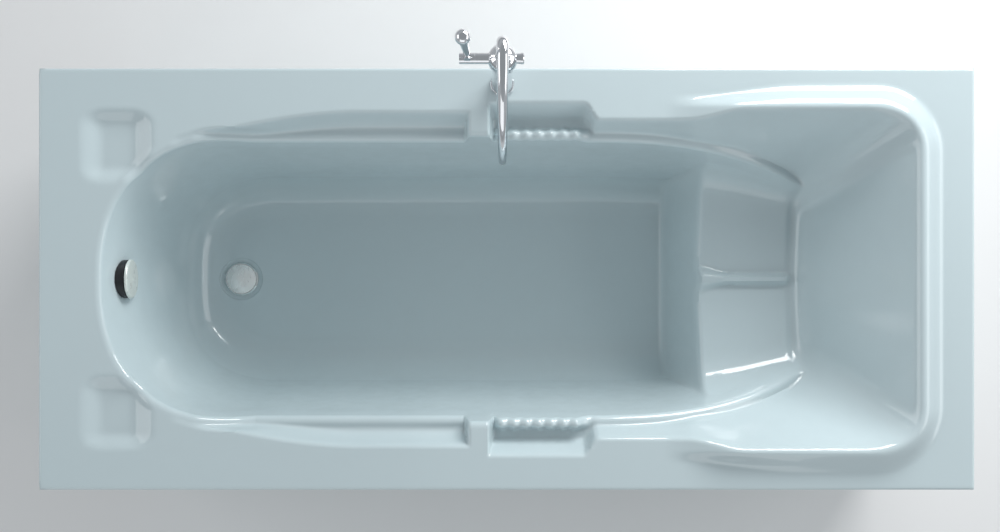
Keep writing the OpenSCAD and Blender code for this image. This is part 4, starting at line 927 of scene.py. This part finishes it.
class BATH_OT_shell(bpy.types.Operator):
    """Build the moulded acrylic shell in place of its plain solid"""

    bl_idname = "bath.shell"
    bl_label = "Acrylic Shell"

    def execute(self, context):
        settings = context.scene.bath_form
        places = station_places()
        rows = [shell_rows(*place) for place in places]
        lines, top_n, under_n = len(rows), len(rows[0][0]), len(rows[0][1])
        verts = [p for top, _ in rows for p in top]
        first = len(verts)
        verts += [p for _, under in rows for p in under]
        faces = grid_faces(lines, top_n) + grid_faces(lines, under_n, first, flip=True)
        for i in range(lines - 1):
            a, b = i * top_n, (i + 1) * top_n
            faces.append((b, a, first + i * under_n, first + (i + 1) * under_n))
        last = lines - 1
        end = list(range(top_n)) + [last * top_n + k for k in reversed(range(top_n - 1))]
        end += [first + last * under_n + k for k in range(under_n)]
        end += [first + k for k in reversed(range(under_n - 1))]
        faces.append(tuple(end))
        shell = mesh_object("Acrylic_shell", verts, faces, SHELL_SHARP)
        recess = settings.recess_radius / MM
        mouth = recess + RECESS_FLARE
        drain = [(0, -DRAIN_CUT), (DRAIN_HOLE_R, -DRAIN_CUT), (DRAIN_HOLE_R, -RECESS_D)]
        drain += [(recess - RECESS_D, -RECESS_D), (recess, -0.8), (mouth, 1.5)]
        drain += [(mouth, RECESS_TOP), (0, RECESS_TOP)]
        tilt = Matrix.Rotation(math.atan(FOOT_SLOPE), 4, "Y")
        overflow = Matrix.Translation((OVERFLOW_X, 0, RIM_H - OVERFLOW_DROP)) @ tilt
        for profile, place in (
            (drain, Matrix.Translation((DRAIN_X, 0, RIM_H - WELL_D))),
            (bore(OVERFLOW_HOLE_R, OVERFLOW_CUT), overflow),
            (bore(TAP_HOLE_R, TAP_CUT), Matrix.Translation((TAP_X, TAP_Y, RIM_H))),
        ):
            cut(shell, mesh_object("Cutter", *lathe(profile, HOLE_SIDES, place)))
        shell.data.set_sharp_from_angle(angle=math.radians(SHELL_SHARP))
        shell.data.materials.clear()
        shell.data.materials.append(acrylic(settings.acrylic_colour))
        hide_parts("tub_shell")
        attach(shell, "tub")
        return {"FINISHED"}


def bezier(p, t):
    """Point at t on the flat cubic curve of four knots."""
    u = 1 - t
    parts = (u * u * u, 3 * u * u * t, 3 * u * t * t, t * t * t)
    return tuple(sum(w * q[axis] for w, q in zip(parts, p)) for axis in (0, 1))


class BATH_OT_spout(bpy.types.Operator):
    """Build the smooth swan-neck spout in place of its faceted solid"""

    bl_idname = "bath.spout"
    bl_label = "Tap Spout"

    def execute(self, context):
        settings = context.scene.bath_tap
        foot, reach, n = SPOUT_FOOT, SPOUT_REACH, SPOUT_N
        # Two curves that share the knot at the top: up into the bend, then over and down to the tip
        knots = [
            (0, foot + 4), (6, foot + 26), (36, foot + 66), (-22, foot + 65),
            (-66, foot + 64), (-reach + 8, foot + 10), (-reach, SPOUT_TIP),
        ]
        path = [bezier(knots[:4], i / n) for i in range(n)]
        path += [bezier(knots[3:], i / n) for i in range(n + 1)]
        wide, narrow = settings.spout_radius / MM, settings.tip_radius / MM
        radii = [mix(wide, narrow, (i / (2 * n)) ** SPOUT_TAPER) for i in range(2 * n + 1)]
        verts, faces = tube(path, radii)
        collar = [(0, foot), (wide + 0.4, foot), (wide + 1, foot + 0.6), (wide + 1, foot + 4.6)]
        collar += [(wide + 0.2, foot + 6), (0, foot + 6)]
        spigot = [(0, foot - 14), (7, foot - 14), (7, foot), (0, foot)]
        for profile in (collar, spigot):
            more, quads = lathe(profile, 48)
            base = len(verts)
            verts += more
            faces += [tuple(base + i for i in quad) for quad in quads]
        verts = [(x + TAP_X, y + TAP_Y, z + RIM_H) for x, y, z in verts]
        spout = mesh_object("Swan_neck_spout", verts, faces, 35.0)
        spout.data.materials.append(chrome(settings.chrome_colour, "Chrome spout"))
        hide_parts("tap_spout")
        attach(spout, "spout")
        return {"FINISHED"}


def paint(material, *nodes):
    """Gives carried-over solids a material through their own slots."""
    for node in nodes:
        mesh = NODES[node].data
        if not mesh.materials:
            mesh.materials.append(material)
        for index in range(len(mesh.materials)):
            mesh.materials[index] = material


class BATH_OT_aprons(bpy.types.Operator):
    """Finish the aprons round the bath"""

    bl_idname = "bath.aprons"
    bl_label = "Aprons"

    def execute(self, context):
        settings = context.scene.bath_form
        sheet = acrylic(settings.acrylic_colour, "Apron acrylic", settings.apron_polish)
        paint(sheet, "panel_front", "panel_back", "panel_left", "panel_right")
        return {"FINISHED"}


class BATH_OT_carcass(bpy.types.Operator):
    """Finish the boards, battens, steel frame and feet"""

    bl_idname = "bath.carcass"
    bl_label = "Frame and Feet"

    def execute(self, context):
        wood = softwood((0.60, 0.40, 0.21), "Planed softwood")
        paint(wood, "batten_front", "batten_back", "batten_left", "batten_right", "corner_blocks")
        paint(chipboard((0.46, 0.31, 0.16), "Sealed chipboard"), "base_board", "seat_board")
        coat = powder_coat((0.085, 0.095, 0.11), "Grey powder coat")
        paint(coat, "rail_front", "rail_back", "cross_foot_end", "cross_seat_end", "posts", "seat_prop")
        plate = zinc((0.48, 0.50, 0.53), "Zinc plate")
        paint(plate, "top_brackets", "panel_clips")
        rods = brushed((0.52, 0.53, 0.55), "Drawn steel rod", (0.2, 0.2, 3.0))
        paint(rods, *[f"foot_rod_{i}" for i in range(1, 5)])
        paint(zinc((0.56, 0.54, 0.44), "Passivated zinc"), "bracket_screws", "foot_nuts")
        paint(rubber((0.018, 0.018, 0.020), "Pad rubber"), *[f"foot_pad_{i}" for i in range(1, 5)])
        return {"FINISHED"}


class BATH_OT_waste(bpy.types.Operator):
    """Finish the pop-up waste, trap and overflow"""

    bl_idname = "bath.waste"
    bl_label = "Waste and Overflow"

    def execute(self, context):
        paint(chrome((0.72, 0.77, 0.77), "Chrome trim"), "drain_flange")
        # Painted sheen: the plug's near-white, mostly non-metal colour stands in for the bright reflection
        # of a chrome dome.
        paint(pearl((0.95, 0.96, 0.94), "Pearl plug with painted sheen"), "plug_cap")
        # Painted reflection: the overflow cap's pale green tint copies the bath reflected in its chrome.
        paint(pearl((0.74, 0.79, 0.75), "Pearl cap with painted reflection"), "overflow_cap")
        white = plastic((0.72, 0.72, 0.68), "White moulded plastic")
        paint(white, "waste_body", "trap", "slip_nuts", "outlet_pipe", "overflow_body")
        paint(plastic((0.36, 0.37, 0.37), "Grey pipe plastic", 0.42), "overflow_pipe")
        # Painted shade: the overflow face is near-black so the gap behind the overflow cap shows as shadow;
        # the pull cable is black plastic.
        black_and_gap_shade = plastic((0.012, 0.012, 0.014), "Black plastic and painted gap shade", 0.34, 0.8)
        paint(black_and_gap_shade, "overflow_face", "pull_cable")
        seal = rubber((0.022, 0.022, 0.024), "Seal rubber")
        paint(seal, "drain_seal", "waste_gasket", "plug_seal", "overflow_gasket")
        paint(seal, "tap_gasket", "tap_washer")
        drawn = brushed((0.60, 0.61, 0.62), "Drawn stainless steel")
        paint(drawn, "overflow_spindle", "plug_stem", "tap_aerator")
        return {"FINISHED"}


class BATH_OT_tap(bpy.types.Operator):
    """Finish the tap's body, lever and fixings"""

    bl_idname = "bath.tap"
    bl_label = "Tap"

    def execute(self, context):
        colour = context.scene.bath_tap.chrome_colour
        plated = chrome(colour, "Chrome tap")
        paint(plated, "tap_base", "tap_body", "tap_end_cap", "lever_hub", "lever", "lever_ball")
        paint(brass((0.62, 0.42, 0.15), "Machined brass"), "tap_shank", "tap_nut", "tap_tails")
        return {"FINISHED"}


class BATH_OT_stage(bpy.types.Operator):
    """Set up the floor, the soft lights and the camera above the bath"""

    bl_idname = "bath.stage"
    bl_label = "Studio"

    def execute(self, context):
        scene = context.scene
        settings = scene.bath_stage
        half = 9.0
        corners = [(-half, -half, 0), (half, -half, 0), (half, half, 0), (-half, half, 0)]
        mesh = bpy.data.meshes.new("Floor")
        mesh.from_pydata(corners, [], [(0, 1, 2, 3)])
        floor = bpy.data.objects.new("Floor", mesh)
        scene.collection.objects.link(floor)
        f = Finish("Plain floor", settings.floor_colour, Roughness=0.6)
        f.feed(Base_Color=f.shade(f.noise(2.0, 2.0), 0.98, 1.0))
        mesh.materials.append(f.material)

        def lamp(name, place, aim, size, power):
            data = bpy.data.lights.new(name, "AREA")
            data.shape = "RECTANGLE"
            data.size, data.size_y = size
            data.energy = power
            light = bpy.data.objects.new(name, data)
            light.location = place
            light.rotation_euler = (Vector(aim) - Vector(place)).to_track_quat("-Z", "Y").to_euler()
            scene.collection.objects.link(light)

        power = settings.key_power
        lamp("Tap side", (1.35, 2.1, 1.62), (0.1, 0.0, 0.4), (1.9, 1.2), power)
        lamp("Front side", (-0.4, -2.5, 1.75), (0.0, 0.0, 0.4), (3.4, 1.9), power * 0.2)
        lamp("Seat end", (2.9, 0.0, 1.8), (0.0, 0.0, 0.4), (2.6, 1.4), power * 0.24)
        lamp("Foot end", (-2.9, 0.3, 1.8), (0.0, 0.0, 0.4), (2.2, 1.6), power * 0.19)
        world = bpy.data.worlds.new("Soft room")
        world.use_nodes = True
        sky = Nodes(world.node_tree)
        up = sky.node("ShaderNodeTexCoord", {}, {}, "Generated")
        up = sky.node("ShaderNodeSeparateXYZ", {}, {"Vector": up}, "Z")
        tone = sky.blend(up.between(0.25, 0.85), (0.43, 0.455, 0.475), (0.31, 0.33, 0.345))
        room = sky.node("ShaderNodeBackground", {}, {"Color": tone, "Strength": 1.0})
        sky.node("ShaderNodeOutputWorld", {}, {"Surface": room}, None)
        scene.world = world
        data = bpy.data.cameras.new("Camera")
        data.sensor_width = 36.0
        data.lens = settings.lens
        data.shift_y = 0.012
        camera = bpy.data.objects.new("Camera", data)
        camera.location = (-0.012, 0.002, settings.camera_height)
        scene.collection.objects.link(camera)
        scene.camera = camera
        scene.view_settings.view_transform = "Standard"
        return {"FINISHED"}


class BATH_PT_panel(bpy.types.Panel):
    """Sidebar panel of the bath"""

    bl_label = "Moulded Bath"
    bl_space_type = "VIEW_3D"
    bl_region_type = "UI"
    bl_category = "Bath"

    def draw(self, context):
        scene = context.scene
        for settings in (scene.bath_form, scene.bath_tap, scene.bath_stage):
            box = self.layout.box()
            for key in settings.__annotations__:
                box.prop(settings, key)
        for operator in OPERATORS:
            self.layout.operator(operator.bl_idname)


SETTINGS = {"bath_form": BathFormSettings, "bath_tap": BathTapSettings, "bath_stage": BathStageSettings}
OPERATORS = (
    BATH_OT_stage, BATH_OT_shell, BATH_OT_aprons, BATH_OT_carcass,
    BATH_OT_waste, BATH_OT_tap, BATH_OT_spout,
)


def register():
    for cls in (*SETTINGS.values(), *OPERATORS, BATH_PT_panel):
        bpy.utils.register_class(cls)
    for key, cls in SETTINGS.items():
        setattr(bpy.types.Scene, key, bpy.props.PointerProperty(type=cls))


def unregister():
    for key in SETTINGS:
        delattr(bpy.types.Scene, key)
    for cls in reversed((*SETTINGS.values(), *OPERATORS, BATH_PT_panel)):
        bpy.utils.unregister_class(cls)


def main():
    register()
    for operator in (
        bpy.ops.bath.stage, bpy.ops.bath.shell, bpy.ops.bath.aprons, bpy.ops.bath.carcass,
        bpy.ops.bath.waste, bpy.ops.bath.tap, bpy.ops.bath.spout,
    ):
        operator()


if __name__ == "__main__":
    main()
